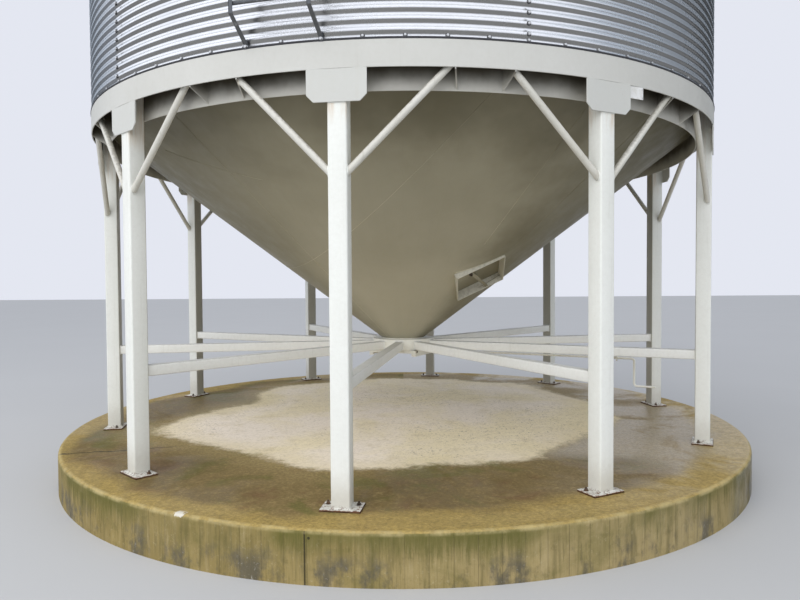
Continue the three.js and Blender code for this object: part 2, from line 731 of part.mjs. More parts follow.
add("peak_collar", peakCollar(), GALVANISED);
add("peak_cap", peakCap(), GALVANISED);
add("roof_hatch", roofHatch(), GALVANISED, LADDER_AZIMUTH);
add("wall_ladder", wallLadder(), GALVANISED, LADDER_AZIMUTH);

export default silo;
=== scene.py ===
import random
from math import atan2, copysign, cos, degrees, hypot, pi, radians, sin, sqrt, tan

import bpy
from mathutils import Matrix, Vector


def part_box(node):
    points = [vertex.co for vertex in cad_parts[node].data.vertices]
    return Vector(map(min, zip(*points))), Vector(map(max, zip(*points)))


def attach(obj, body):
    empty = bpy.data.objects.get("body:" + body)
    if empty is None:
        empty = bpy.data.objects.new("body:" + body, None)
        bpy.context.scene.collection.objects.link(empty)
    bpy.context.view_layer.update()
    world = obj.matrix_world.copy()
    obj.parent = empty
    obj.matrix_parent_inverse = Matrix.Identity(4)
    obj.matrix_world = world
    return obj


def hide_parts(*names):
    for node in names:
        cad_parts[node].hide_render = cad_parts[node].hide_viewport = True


scene = bpy.context.scene
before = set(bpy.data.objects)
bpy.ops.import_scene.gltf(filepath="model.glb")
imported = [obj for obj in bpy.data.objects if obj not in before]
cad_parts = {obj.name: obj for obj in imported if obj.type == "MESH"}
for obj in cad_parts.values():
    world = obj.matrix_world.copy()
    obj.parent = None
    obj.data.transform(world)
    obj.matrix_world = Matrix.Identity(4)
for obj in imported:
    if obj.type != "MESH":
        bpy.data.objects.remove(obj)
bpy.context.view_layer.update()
random.seed(11)

# Driving dimensions, in metres; azimuths in degrees from -Y (the front) towards +X
GAP = 0.0003  # between forms that would otherwise share a face

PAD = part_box("plinth")[1].z
PLINTH_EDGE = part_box("plinth")[1].x
PLINTH_ROUND = 0.022

RING_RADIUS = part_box("ring_beam")[1].x
RING_TOP = PAD + 2.666
RING_BOTTOM = PAD + 2.512
SKIRT_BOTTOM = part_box("ring_beam")[0].z
RING_PLATE = 0.008
RING_SHELF = RING_TOP - RING_PLATE
RING_DEPTH = 0.1255
UPRIGHT_OUTER, UPRIGHT_INNER, UPRIGHT_HEIGHT = 2.728, 2.722, 0.07

# Each leg's azimuth, and how far the ring's stiffeners on its left and right lie from its middle plane
LEGS = (
    (-7.7, 0.616, 0.665), (27.1, 0.635, 0.635), (64.3, 0.696, 0.65),
    *((azimuth, 0.65, 0.65) for azimuth in (99.7, 135.8, 172, 207.8, 244.4, 280.7)), (317, 0.65, 0.712),
)
LEG_SIZE = 0.113
LEG_CORNER = 0.01
LEG_OUTER = 2.738
LEG_INNER = LEG_OUTER - LEG_SIZE
LEG_CENTRE = LEG_OUTER - LEG_SIZE / 2
FOOT_LENGTH = 0.24
FOOT_DEPTH = 0.155
FOOT_PLATE = 0.012
ANCHOR_SIDE, ANCHOR_INWARDS = 0.092, 0.028
GUSSET_WIDTH = 0.35
GUSSET_HEIGHT = 0.185
GUSSET_CHAMFER = 0.04
GUSSET_FACE = 2.7475
GUSSET_PLATE = 0.009

BRACE_RADIUS = 0.0212
BRACE_START = Vector((LEG_SIZE / 2, -2.706, PAD + 1.944))
BRACE_RUN = Vector((0.654, 0.085, 0.67))
STIFFENER_PLATE = 0.008

TIE_SIZE = 0.076
TIE_CORNER = 0.007
TIE_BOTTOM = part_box("tie_beam_01")[0].z
HUB_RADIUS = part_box("hub_ring")[1].x
HUB_BOTTOM, HUB_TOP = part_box("hub_ring")[0].z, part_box("hub_ring")[1].z
HUB_BORE, HUB_PLATE, HUB_FLANGE = 0.2012, 0.01, 0.008

CONE_SLOPE = radians(37)
CONE_APEX = PAD + 0.616
CONE_HIGH = RING_RADIUS - RING_DEPTH - RING_PLATE - 0.0005

WALL_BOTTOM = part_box("wall_ring_01")[0].z
WALL_RINGS = 5
COURSE_HEIGHT = 1.12
EAVE = WALL_BOTTOM + WALL_RINGS * COURSE_HEIGHT
WAVE_PITCH = 0.061
WAVE_DEPTH = 0.0127
WAVE_CREST = 2.747
FIRST_VALLEY = 0.023
WALL_SHEET = 0.002
SHEETS = 6
SHEET_ANGLE = 360 / SHEETS
SEAM_AZIMUTH = 14.9
SEAM_BOLT_ANGLE = 0.45
BOLTS_ROUND = 72
BOLT_AZIMUTH = 0.45
EAVE_BOLTS_BELOW = 0.035

HATCH_AZIMUTH = 44
HATCH_RADIUS = 0.9707
HATCH_TURN = 43.3
HATCH_NUT = (-0.098, 0.188, 0.017)
HATCH_FOOT = (0.2305, 0.2205)

GATE_AZIMUTH = LEGS[2][0]
GATE_RAIL_FACE = 0.2452
GATE_BOLTS = (-0.215, 0.045, 0.345, 0.7)
GATE_BOLT_HEIGHT = PAD + 0.652
BRACKET_BOLTS = (-0.022, 0.022)
BRACKET_RADIUS = 1.977
BRACKET_FACE = TIE_BOTTOM - 0.0083
SHAFT_OFFSET = 0.3
SHAFT_HEIGHT = PAD + 0.62
SHAFT_RADIUS = 0.01
SHAFT_INNER_END = 0.285
CRANK_REACH = 2.126
CRANK_ARM = 0.244
CRANK_HANDLE = 0.176
CRANK_BEND = 0.03

SIGN_RIVET_HEIGHTS = (PAD + 2.448, PAD + 2.498)
SIGN_RIVET_SIDE, SIGN_FACE = 0.282, 2.7374

LADDER_AZIMUTH = -14.3
LADDER_HALF = 0.232
LADDER_FACE = 2.917
LADDER_DEPTH = 0.036
LADDER_SHEET = 0.004
LADDER_FLANGE_HALF = 0.012
LADDER_FOOT = PAD + 2.684
LADDER_BEND = PAD + 2.803
LADDER_FIRST_RUNG = PAD + 2.862
LADDER_TOP = EAVE + 0.32
ARM_BELOW_LAP = 0.12
RUNG_RADIUS = 0.01
RUNG_SPACING = 0.3

# Camera, at the photograph's viewing angle
CAMERA_PLACE = Vector((0.0, -6.3949, PAD + 1.3125))
CAMERA_PITCH, CAMERA_YAW, CAMERA_ROLL = -1.6204, -0.2821, -0.3667
CAMERA_LENS = 29.208
CAMERA_SENSOR = 36.0
CAMERA_SHIFT = (0.00023, 0.00027)


def polar(radius, azimuth, z):
    a = radians(azimuth)
    return Vector((radius * sin(a), -radius * cos(a), z))


def turned(azimuth):
    return Matrix.Rotation(radians(azimuth), 4, "Z")


def linked(name, data):
    obj = bpy.data.objects.new(name, data)
    scene.collection.objects.link(obj)
    return obj


# Mesh building

class Shape:
    """Forms gathered into one object."""

    def __init__(self):
        self.points, self.faces, self.materials = [], [], []

    def add(self, form, matrix=None, material=0):
        points, faces = form
        start = len(self.points)
        if matrix is not None:
            points = [matrix @ Vector(p) for p in points]
        self.points.extend(points)
        self.faces.extend(tuple(start + i for i in face) for face in faces)
        self.materials.extend([material] * len(faces))
        return self

    def moved(self, matrix):
        self.points = [matrix @ Vector(p) for p in self.points]
        return self

    def piece(self, name, materials, slot, body="silo", stands_for=(), sharp=32):
        mesh = bpy.data.meshes.new(name)
        mesh.from_pydata([tuple(p) for p in self.points], [], self.faces)
        for material in materials if isinstance(materials, tuple) else (materials,):
            mesh.materials.append(material)
        mesh.polygons.foreach_set("material_index", self.materials)
        mesh.validate()
        mesh.shade_smooth()
        mesh.set_sharp_from_angle(angle=radians(sharp))
        obj = linked(name, mesh)
        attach(obj, body)
        if stands_for:
            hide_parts(*stands_for)


def ring_faces(rings, count, closed=False):
    """Quads over rings of count points; closed joins the last ring to the first."""
    faces = []
    for i in range(rings if closed else rings - 1):
        for j in range(count):
            here, next_ring, k = i * count, (i + 1) % rings * count, (j + 1) % count
            faces.append((here + j, here + k, next_ring + k, next_ring + j))
    return faces


def skin(rings, count, closed=False):
    """Quads over rings, and a cap at each end unless closed."""
    faces = ring_faces(rings, count, closed)
    if not closed:
        faces.append(tuple(reversed(range(count))))
        faces.append(tuple(range((rings - 1) * count, rings * count)))
    return faces


def hoop(sections):
    """Outlines at rising azimuths joined into a closed hoop."""
    points = [p for section in sections for p in section]
    return points, [f[::-1] for f in ring_faces(len(sections), len(sections[0]), True)]


def lathe(profile, segments):
    """A closed profile of (radius, z), counter-clockwise, turned about Z."""
    return hoop([[polar(r, 360 * k / segments, z) for r, z in profile] for k in range(segments)])


def circle(radius, count, z=0.0):
    angles = [2 * pi * k / count for k in range(count)]
    return [(radius * cos(a), radius * sin(a), z) for a in angles]


def rectangle(x0, x1, y0, y1):
    return [(x0, y0), (x1, y0), (x1, y1), (x0, y1)]


def corners(outline):
    """Each corner of an outline, with the directions to its neighbours."""
    for i, point in enumerate(outline):
        corner = Vector(point)
        before = (Vector(outline[i - 1]) - corner).normalized()
        after = (Vector(outline[(i + 1) % len(outline)]) - corner).normalized()
        yield corner, before, after


def rounded_outline(outline, radius, steps=3):
    """The corners of a convex outline of (x, y) replaced by arcs."""
    result = []
    for corner, before, after in corners(outline):
        half = before.angle(after) / 2
        reach = radius / tan(half)
        start, end = corner + before * reach, corner + after * reach
        centre = corner + (before + after).normalized() * (radius / sin(half))
        for s in range(steps + 1):
            p = start.lerp(end, s / steps) - centre
            result.append(tuple(centre + p.normalized() * radius))
    return result


def prism(outline, z0, z1, bevel=0.0):
    """An outline of (x, y), counter-clockwise, raised from z0 to z1; bevel eases a convex one's edges."""
    levels = [(z0, bevel), (z0 + bevel, 0), (z1 - bevel, 0), (z1, bevel)] if bevel else [(z0, 0), (z1, 0)]
    points = []
    for z, inset in levels:
        for corner, before, after in corners(outline):
            p = corner + (before + after).normalized() * inset
            points.append((p.x, p.y, z))
    return points, skin(len(levels), len(outline))


def box(x0, x1, y0, y1, z0, z1):
    return prism(rectangle(x0, x1, y0, y1), z0, z1, 0.0005)


def square_tube(size, corner, z0, z1):
    half = size / 2
    return prism(rounded_outline(rectangle(-half, half, -half, half), corner), z0, z1)


# Axes for upright outlines: seen from the front and raised towards it, or (y, z) raised along +X
FRONT_AXES = ((1, 0, 0), (0, 0, 1), (0, -1, 0))
SIDE_AXES = ((0, 1, 0), (0, 0, 1), (1, 0, 0))


def in_frame(form, origin, axes):
    """A form moved from its own axes to the given ones."""
    matrix = Matrix(axes).transposed().to_4x4()
    matrix.translation = origin
    points, faces = form
    return [matrix @ Vector(p) for p in points], faces


def tube(path, radius, sides, closed=False):
    """A round bar along a path of points; radius is a number or one for each point."""
    path = [Vector(p) for p in path]
    count = len(path)
    radii = [radius] * count if isinstance(radius, float) else radius
    points = []
    side = (path[1] - path[0]).normalized().orthogonal().normalized()
    for i, p in enumerate(path):
        ahead = path[(i + 1) % count] if closed else path[min(i + 1, count - 1)]
        behind = path[i - 1] if closed else path[max(i - 1, 0)]
        direction = (ahead - behind).normalized()
        side = (side - direction * side.dot(direction)).normalized()
        other = direction.cross(side)
        for x, y, _ in circle(1.0, sides):
            points.append(p + (side * x + other * y) * radii[i])
    return points, skin(count, sides, closed)


def along(start, end, step):
    """Points from start to end at about the given step."""
    start, end = Vector(start), Vector(end)
    count = round((end - start).length / step)
    return [start.lerp(end, i / count) for i in range(count + 1)]


WELD_STEP = 0.007


def weld(path, radius, sides=6, closed=False):
    """A weld bead with a rippled surface along a path of points."""
    radii = [radius * (0.86 + 0.2 * (i % 2) + random.uniform(-0.08, 0.08)) for i in range(len(path))]
    return tube(path, radii, sides, closed)


def weld_line(start, end, radius):
    return weld(along(start, end, WELD_STEP), radius)


def weld_ring(radius, z, bead, step):
    count = round(2 * pi * radius / step)
    return weld([polar(radius, 360 * i / count, z) for i in range(count)], bead, 5, closed=True)


def weld_round(shape, places, bead, matrix=None):
    """Beads from each place to the next and back to the first."""
    for i, place in enumerate(places):
        shape.add(weld_line(place, places[(i + 1) % len(places)], bead), matrix)


def hex_bolt(across, height, washer, washer_height, stub=0.0):
    """A hexagon head on a domed washer, standing on z = 0 along +Z."""
    sides = 12
    steps = (washer, 0), (washer, washer_height * 0.5), (washer * 0.8, washer_height)
    rings = [p for radius, z in steps for p in circle(radius, sides, z)]
    outline = [(x, y) for x, y, _ in circle(across / sqrt(3), 6)]
    shape = Shape().add((rings, skin(3, sides)))
    shape.add(prism(outline, washer_height * 0.9, washer_height + height, across * 0.06))
    if stub:
        shape.add(tube([(0, 0, height), (0, 0, height + stub)], across * 0.3, 10))
    return shape.points, shape.faces


def facing(origin, normal, spin=0.0):
    """The matrix that puts +Z along normal at origin, turned about it by spin degrees."""
    normal = Vector(normal).normalized()
    turn = normal.to_track_quat("Z", "Y").to_matrix().to_4x4()
    return Matrix.Translation(origin) @ turn @ Matrix.Rotation(radians(spin), 4, "Z")


def bolts(places, form):
    """The same bolt at each (origin, normal), turned a little differently."""
    shape = Shape()
    for origin, normal in places:
        shape.add(form, facing(origin, normal, random.uniform(0, 60)))
    return shape


MEDIUM_BOLT = hex_bolt(0.016, 0.008, 0.012, 0.002)


# Materials

def worked_out(operation):
    return lambda field, other=0: field.nodes.calc(operation, field, other)


class Field:
    """A value that varies over a surface or over the sky, used in sums like a number."""

    def __init__(self, nodes, socket):
        self.nodes, self.socket = nodes, socket

    __add__, __sub__ = worked_out("ADD"), worked_out("SUBTRACT")
    __mul__, __truediv__ = worked_out("MULTIPLY"), worked_out("DIVIDE")
    __gt__, __lt__ = worked_out("GREATER_THAN"), worked_out("LESS_THAN")
    __abs__, root = worked_out("ABSOLUTE"), worked_out("SQRT")

    def __rsub__(self, other):
        return self.nodes.calc("SUBTRACT", other, self)

    def span(self, low, high, at_low, at_high):
        """From at_low where the field is low to at_high where it is high, eased at both."""
        inputs = {"Value": self, "From Min": low, "From Max": high, "To Min": at_low, "To Max": at_high}
        return self.nodes.node("ShaderNodeMapRange", inputs, "Result", interpolation_type="SMOOTHSTEP")

    def ramp(self, low, high, amount=1):
        """From nothing where the field is low to amount where it is high."""
        return self.span(low, high, 0, amount)

    def sway(self, amount, low=0.2):
        """A shift of up to amount either way, to make a line uneven."""
        return self.span(low, 1 - low, -amount, amount)

    def axis(self, name):
        return self.nodes.node("ShaderNodeSeparateXYZ", {0: self}, name)


class Nodes:
    """Short names for the nodes of a material or of the sky."""

    def __init__(self, tree, coordinates):
        self.tree = tree
        self.place = self.node("ShaderNodeTexCoord", {}, coordinates)

    def fill(self, node, inputs):
        """Links or sets a node's inputs, apart from those given as None."""
        for key, value in inputs.items():
            socket = node.inputs[key]
            if isinstance(value, Field):
                self.tree.links.new(value.socket, socket)
            elif value is not None:
                socket.default_value = (*value, 1) if socket.type == "RGBA" else value

    def node(self, kind, inputs, output, **settings):
        """One output, as a Field, of a new node."""
        node = self.tree.nodes.new(kind)
        for key, value in settings.items():
            setattr(node, key, value)
        self.fill(node, inputs)
        return Field(self, node.outputs[output])

    def calc(self, operation, a, b=0):
        return self.node("ShaderNodeMath", {0: a, 1: b}, 0, operation=operation)

    def mix(self, factor, a, b):
        return self.node("ShaderNodeMix", {"Factor": factor, "A": a, "B": b}, "Result", data_type="RGBA")

    def azimuth(self):
        """The angle about the vertical axis, in radians from -Y towards +X."""
        return self.calc("ARCTAN2", self.place.axis("X"), self.place.axis("Y") * -1)


class Look(Nodes):
    """A principled material in the making."""

    def __init__(self, name):
        self.material = bpy.data.materials.new(name)
        self.material.use_nodes = True
        super().__init__(self.material.node_tree, "Object")

    def noise(self, scale, detail=3, roughness=0.6, place=None, distortion=0):
        inputs = {"Vector": place or self.place, "Scale": scale, "Detail": detail, "Roughness": roughness,
                  "Distortion": distortion}
        return self.node("ShaderNodeTexNoise", inputs, "Fac")

    def streaks(self, across, down, detail, roughness):
        """Noise drawn out upright, from its scales across and down."""
        inputs = {"Vector": self.place, "Scale": (across, across, down)}
        return self.noise(1, detail, roughness, self.node("ShaderNodeMapping", inputs, "Vector"))

    def drawn_out(self, x, y, detail, roughness):
        """Noise over two scaled fields in place of the object's own axes."""
        return self.noise(1, detail, roughness, self.node("ShaderNodeCombineXYZ", {"X": x, "Y": y}, 0))

    def coats(self, colour, *coats):
        """A colour under coats of others, each given as (how much of it shows, its colour)."""
        for amount, tint in coats:
            colour = self.mix(amount, colour, tint)
        return colour

    def radius(self):
        x, y = self.place.axis("X"), self.place.axis("Y")
        return (x * x + y * y).root()

    def normal(self):
        return self.node("ShaderNodeNewGeometry", {}, "Normal")

    def outwards(self):
        """How squarely a face looks away from the silo's axis: 1 straight out, -1 straight in."""
        normal, place = self.normal(), self.place
        return (normal.axis("X") * place.axis("X") + normal.axis("Y") * place.axis("Y")) / self.radius()

    def bump(self, height, distance, strength, under=None):
        inputs = {"Height": height, "Distance": distance, "Strength": strength, "Normal": under}
        return self.node("ShaderNodeBump", inputs, "Normal")

    def finish(self, colour, roughness, normal=None, metallic=0, specular=0.5):
        self.fill(self.tree.nodes["Principled BSDF"], {
            "Base Color": colour, "Roughness": roughness, "Metallic": metallic, "Specular IOR Level": specular,
            "Normal": normal})
        return self.material


RUST = (0.205, 0.082, 0.03)
DARK_RUST = (0.085, 0.038, 0.018)
RUST_STAIN = (0.56, 0.4, 0.23)
# settled dirt, with painted shade, on faces that look up
DUST_AND_SHADE = (0.12, 0.1, 0.07)
# painted shade inside the ring beam's channel
CHANNEL_SHADE = (0.052, 0.04, 0.02)
HEAD_PLATE = (0.58, 0.582, 0.54)


def paint(name, base, shade, dirt, specks, streak, dust_and_shade=0, leg=False, channel=False):
    """Weathered gloss paint: soft mottling, dirt runs and rust specks.

    A leg gets a rusty foot, a duller head plate and painted shade on faces that look in towards the silo's
    axis;
    faces that look up can take settled dirt and painted shade, and the ring beam's channel painted shade.
    """
    look = Look(name)
    height = look.place.axis("Z")
    head = RING_BOTTOM - GUSSET_HEIGHT
    colour = look.mix(look.noise(1.7, 4, 0.6).ramp(0.3, 0.7), base, shade)
    if leg:
        plate = look.radius() > LEG_OUTER + 0.001
        colour = look.coats(
            colour,
            # painted shade: faces that look in towards the silo's axis darkened
            ((look.outwards() * -1).ramp(0.6, 0.85, 0.72), (0.23, 0.215, 0.17)),
            (plate * (height > head - 0.003), HEAD_PLATE),
        )
    fine = look.noise(38, 3, 0.7)
    spots = look.noise(165, 2, 0.5).ramp(0.735, 0.775) * look.noise(2.6).ramp(0.46, 0.66)
    colour = look.coats(
        colour,
        (fine.ramp(0.35, 0.75, 0.1), dirt),
        (look.streaks(34, 1.6, 5, 0.65).ramp(0.56, 0.8, 0.55 * streak), dirt),
        (spots * specks, RUST),
    )
    rough = look.noise(9).span(0.3, 0.7, 0.4, 0.56)
    if leg:
        ragged = look.noise(46, 4, 0.75)
        splash = height - look.noise(24, 4, 0.7) * 0.12
        rusty = look.mix(look.noise(70, 4, 0.7), DARK_RUST, RUST)
        seam = height.ramp(PAD + 0.04, PAD + 0.016) * ragged.ramp(0.52, 0.62, 0.7)
        stain = look.streaks(14, 1.4, 4, 0.7).ramp(0.4, 0.68, 0.6) * height.ramp(head - 0.16, head)
        creep = (height - ragged * 0.016).span(PAD - 0.001, PAD + 0.006, 1, 0)
        colour = look.coats(
            colour,
            (splash.span(PAD - 0.03, PAD + 0.2, 0.5, 0), dirt),
            (seam, rusty),
            (stain * (1 - plate), RUST_STAIN),
            (creep, rusty),
        )
        rough = rough + creep * 0.35
    if dust_and_shade:
        # faces that look up darkened: settled dirt on them, and painted shade
        dust_and_shade_mask = look.normal().axis("Z") + fine.sway(0.15, 0.3)
        colour = look.mix(dust_and_shade_mask.ramp(0.35, 0.8, dust_and_shade), colour, DUST_AND_SHADE)
    if channel:
        # painted shade inside the ring beam: its inner faces darker, darkest above the outer band's lower edge
        inside = look.radius() < RING_RADIUS - RING_PLATE + 0.001
        ragged = height + look.noise(5).sway(0.012, 0.3)
        channel_shade_mask = ragged.ramp(RING_BOTTOM - 0.09, RING_BOTTOM + 0.042, 0.95)
        colour = look.coats(colour, (inside * 0.22, (0.4, 0.35, 0.24)), (inside * channel_shade_mask, CHANNEL_SHADE))
    normal = look.bump(look.noise(420, 2, 0.5), 0.0006, 0.25)
    normal = look.bump(look.noise(16, 3, 0.5), 0.002, 0.25, normal)
    return look.finish(colour, rough, normal, specular=0.45)


def cone_paint(name, light=1):
    """Paint on the hopper's sheet: faint bands, rubbed patches, and painted shade towards the top and both
    sides.
    """
    look = Look(name)
    radius, azimuth = look.radius(), look.azimuth()
    first, second = (tuple(v * light for v in tone) for tone in ((0.5, 0.465, 0.345), (0.465, 0.43, 0.315)))
    mottle = look.noise(1.1, 4, 0.6)
    reach = radius + mottle.sway(0.18)
    right = azimuth + mottle.sway(0.15)
    spots = look.noise(150, 2, 0.5).ramp(0.74, 0.78) * look.noise(3.1).ramp(0.5, 0.7)
    colour = look.coats(
        look.mix(mottle.ramp(0.3, 0.7), first, second),
        (look.drawn_out(azimuth * 16, radius * 0.9, 5, 0.6).ramp(0.5, 0.78, 0.06), (0.29, 0.262, 0.19)),
        (look.noise(30, 4, 0.7).ramp(0.4, 0.8, 0.2), (0.5, 0.48, 0.4)),
        # painted shade: darker towards the top, where the ring beam shades the cone, and on both sides
        (reach.ramp(0.8, 1.9, 0.32), (0.15, 0.13, 0.066)),
        (reach.ramp(1.8, 2.6, 0.72), (0.08, 0.069, 0.032)),
        (right.ramp(0.35, 0.95, 0.64), (0.096, 0.083, 0.032)),
        (right.ramp(-0.45, -1, 0.42), (0.1, 0.086, 0.034)),
        (spots * 0.6, RUST),
    )
    rough = look.noise(6).span(0.3, 0.7, 0.42, 0.58)
    normal = look.bump(look.noise(380, 2, 0.5), 0.0006, 0.25)
    normal = look.bump(look.noise(2.2, 3, 0.5), 0.02, 0.25, normal)
    return look.finish(colour, rough, normal, specular=0.4)


def galvanised(name, base, dull, painted_tilt_shade, roughness, metal, bluer_left_sheet=False):
    """Zinc-coated sheet: crystal spangle, pale streaks and painted reflections of ground and eave by tilt.

    bluer_left_sheet makes the front left sheet of the lowest course bluer and darker.
    """
    look = Look(name)
    spangle = look.node("ShaderNodeTexVoronoi", {"Vector": look.place, "Scale": 58}, "Color").axis("X")
    clouds = look.noise(1.3, 4, 0.65)
    tilt = look.normal().axis("Z")
    colour = look.coats(
        base,
        (spangle.ramp(0, 1, 0.1), dull),
        (look.streaks(26, 1.1, 4, 0.6).ramp(0.52, 0.8, 0.35), (0.82, 0.84, 0.86)),
        (clouds.ramp(0.4, 0.7, 0.3), dull),
        # painted reflection of the dark ground on faces that look down; on bolts, painted shade under the head
        (tilt.ramp(-0.22, -0.32, painted_tilt_shade), (0.185, 0.178, 0.163)),
    )
    if bluer_left_sheet:
        azimuth = look.azimuth()
        sheet = ((azimuth > radians(SEAM_AZIMUTH - 2 * SHEET_ANGLE))
                 * (azimuth < radians(SEAM_AZIMUTH - SHEET_ANGLE))
                 * (look.place.axis("Z") < WALL_BOTTOM + COURSE_HEIGHT))
        colour = look.mix(sheet * 0.38, colour, (0.3, 0.33, 0.37))
    # painted reflection of the eave: a grey line on faces that look steeply up
    colour = look.mix(tilt.ramp(0.47, 0.54, 0.75 * painted_tilt_shade), colour, (0.36, 0.37, 0.39))
    rough = spangle.span(0, 1, roughness - 0.005, roughness + 0.015) + clouds.ramp(0.4, 0.7, 0.05)
    return look.finish(colour, rough, look.bump(look.noise(240, 2, 0.5), 0.0003, 0.05), metal)


# Marks on the concrete, with azimuths in radians
DRY_LOBE, DRY_NOTCH, RIM_CHIP = -1.25, -1.98, -0.44
FORM_JOINT, FORM_HOLE = radians(-10.12), radians(-9.68)
HOLE_DEPTH, HOLE_RADIUS_SQUARED = 0.045, 0.00006
CHIP_WIDTH, CHIP_HEIGHT = 0.036, 0.017
BOARDS_ROUND = 146
CRACK_SLOPE, CRACK_START = 0.2825, -0.701


def concrete_top(look, azimuth, radius, wavy, fine, grit, scatter, zones, right):
    """The plinth's top: brown wet ring, olive rim and pale dry middle; also how dry each place is."""
    around = abs(azimuth)
    edge = around.span(1.05, 1.5, 1.9, 2.08) + around.ramp(1.8, 2.6, 0.3)
    edge = edge + (abs(azimuth - DRY_LOBE).span(0.04, 0.42, 0.36, 0)
                   + abs(azimuth - DRY_NOTCH).span(0, 0.34, -0.24, 0))
    beyond = radius + wavy.sway(0.13) - edge + fine.sway(0.035, 0.3)
    dry = beyond.span(-0.11, 0.05, 1, 0)
    cloud = look.noise(0.85, 6, 0.62, distortion=0.4)
    veins = abs(look.noise(5.5, 6, 0.66, distortion=0.5) - 0.5)
    crumbs = look.noise(42, 4, 0.75).ramp(0.595, 0.655) * wavy.span(0.42, 0.62, 0.25, 1)
    pale = look.coats(
        look.mix(cloud.ramp(0.38, 0.62), (0.97, 0.86, 0.72), (0.93, 0.81, 0.56)),
        (veins.ramp(0.012, 0, 0.35), (0.42, 0.32, 0.17)),
        (look.noise(4.2, 6, 0.75).ramp(0.52, 0.72, 0.5), (0.62, 0.5, 0.27)),
        (look.noise(26, 5, 0.8).ramp(0.5, 0.72, 0.4), (0.48, 0.38, 0.23)),
        (crumbs * 0.85, (0.13, 0.085, 0.045)),
        (beyond.ramp(-0.5, -0.05, 0.45), (0.76, 0.64, 0.37)),
    )
    rim = look.mix(fine.ramp(0.35, 0.65), (0.5, 0.355, 0.105), (0.37, 0.265, 0.08))
    rim_reach = radius + wavy.sway(0.16)
    fringe = beyond.span(0.02, 0.4, 0.7, 0) * azimuth.span(0.1, -0.6, 0.25, 1)
    grainy = dry.span(0, 1, 1, 0.25)
    x, y = look.place.axis("X"), look.place.axis("Y")
    off_crack = y - CRACK_START - x * CRACK_SLOPE + look.noise(5, 4, 0.6).sway(0.03)
    crack = abs(off_crack).ramp(0.018, 0.009) * x.ramp(-1.72, -2.1, 0.95)
    colour = look.coats(
        look.mix(cloud.ramp(0.36, 0.62), (0.235, 0.165, 0.062), (0.16, 0.108, 0.036)),
        (fine.ramp(0.45, 0.7, 0.52), (0.37, 0.28, 0.12)),
        (zones.ramp(0.51, 0.63, 0.8), (0.145, 0.132, 0.032)),
        (zones.ramp(0.46, 0.34, 0.6), (0.185, 0.098, 0.045)),
        # lighter and greyer on the right: the concrete's greyer tone, and a painted sheen of its wet surface
        (right.ramp(0.5, 0.95, 0.85), (0.43, 0.345, 0.215)),
        (rim_reach.ramp(2.72, 2.9, 0.85), rim),
        (fringe, (0.4, 0.305, 0.13)),
        (dry, pale),
        (scatter.ramp(0.6, 0.4, 0.4) * grainy, (0.085, 0.062, 0.024)),
        (scatter.ramp(0.56, 0.74, 0.28) * grainy, (0.52, 0.43, 0.24)),
        (grit.ramp(0.54, 0.74, 0.55) * grainy, (0.12, 0.09, 0.04)),
        (crack, (0.04, 0.03, 0.012)),
    )
    return colour, dry


def concrete_side(look, azimuth, height, fine, grit, scatter, zones):
    """The plinth's side: form-board marks, streaks, green stains and lime; also the boards' relief."""
    board = azimuth * (BOARDS_ROUND / (2 * pi))
    board_number = look.calc("FLOOR", board)
    board_tone = look.node("ShaderNodeTexWhiteNoise", {"W": board_number}, "Value", noise_dimensions="1D")
    joint = abs(look.calc("FRACT", board) - 0.5).ramp(0.476, 0.492)
    runs = look.drawn_out(azimuth * 110, height * 4, 5, 0.7)
    wide = look.drawn_out(azimuth * 42, height * 1.5, 3, 0.6)
    thin = look.drawn_out(azimuth * 330, height * 3, 3, 0.6)
    patch = look.drawn_out(azimuth * 8.5, height * 1.6, 6, 0.68)
    green = ((height + runs.sway(0.05, 0.3)).ramp(PAD - 0.22, PAD - 0.01)
             * look.noise(1.3).span(0.4, 0.6, 0.15, 0.9))
    low = (height + fine.sway(0.03, 0.3)).ramp(0.21, 0.08)
    lime = patch.ramp(0.54, 0.62) * look.noise(52, 5, 0.85).ramp(0.56, 0.66) * height.ramp(0.16, 0.07, 0.8)
    hole_x, hole_z = (azimuth - FORM_HOLE) * PLINTH_EDGE, height - (PAD - HOLE_DEPTH)
    hole = hole_x * hole_x + hole_z * hole_z < HOLE_RADIUS_SQUARED
    main_joint = look.calc("MAXIMUM", abs(azimuth - FORM_JOINT) < 0.0016, hole)
    colour = look.coats(
        look.mix(look.noise(2.1, 4, 0.6).ramp(0.35, 0.65), (0.345, 0.262, 0.1), (0.265, 0.198, 0.066)),
        (board_tone * 0.3, (0.19, 0.145, 0.05)),
        (azimuth.span(-0.4, 0.4, 0.05, 0.5), (0.5, 0.395, 0.2)),
        (wide.ramp(0.5, 0.68, 0.6), (0.115, 0.098, 0.034)),
        (wide.ramp(0.46, 0.3, 0.45), (0.5, 0.4, 0.22)),
        (thin.ramp(0.5, 0.68, 0.24), (0.13, 0.1, 0.036)),
        (thin.ramp(0.46, 0.32, 0.18), (0.46, 0.37, 0.19)),
        (fine.ramp(0.52, 0.7, 0.45), (0.15, 0.12, 0.044)),
        (zones.ramp(0.5, 0.66, 0.45), (0.17, 0.15, 0.042)),
        (scatter.ramp(0.54, 0.74, 0.5), (0.5, 0.43, 0.26)),
        (grit.ramp(0.58, 0.8, 0.4), (0.09, 0.075, 0.04)),
        (green, (0.12, 0.112, 0.026)),
        (runs.ramp(0.55, 0.74, 0.6), (0.095, 0.082, 0.028)),
        (azimuth.ramp(0.7, 1, 0.68), (0.118, 0.096, 0.032)),
        (patch.ramp(0.49, 0.6, 0.82) * low, (0.1, 0.092, 0.068)),
        (lime, (0.52, 0.5, 0.43)),
        (joint * (board_tone * 0.3), (0.06, 0.05, 0.022)),
        (main_joint * 0.85, (0.035, 0.03, 0.014)),
    )
    return colour, board_tone * 0.4 - joint


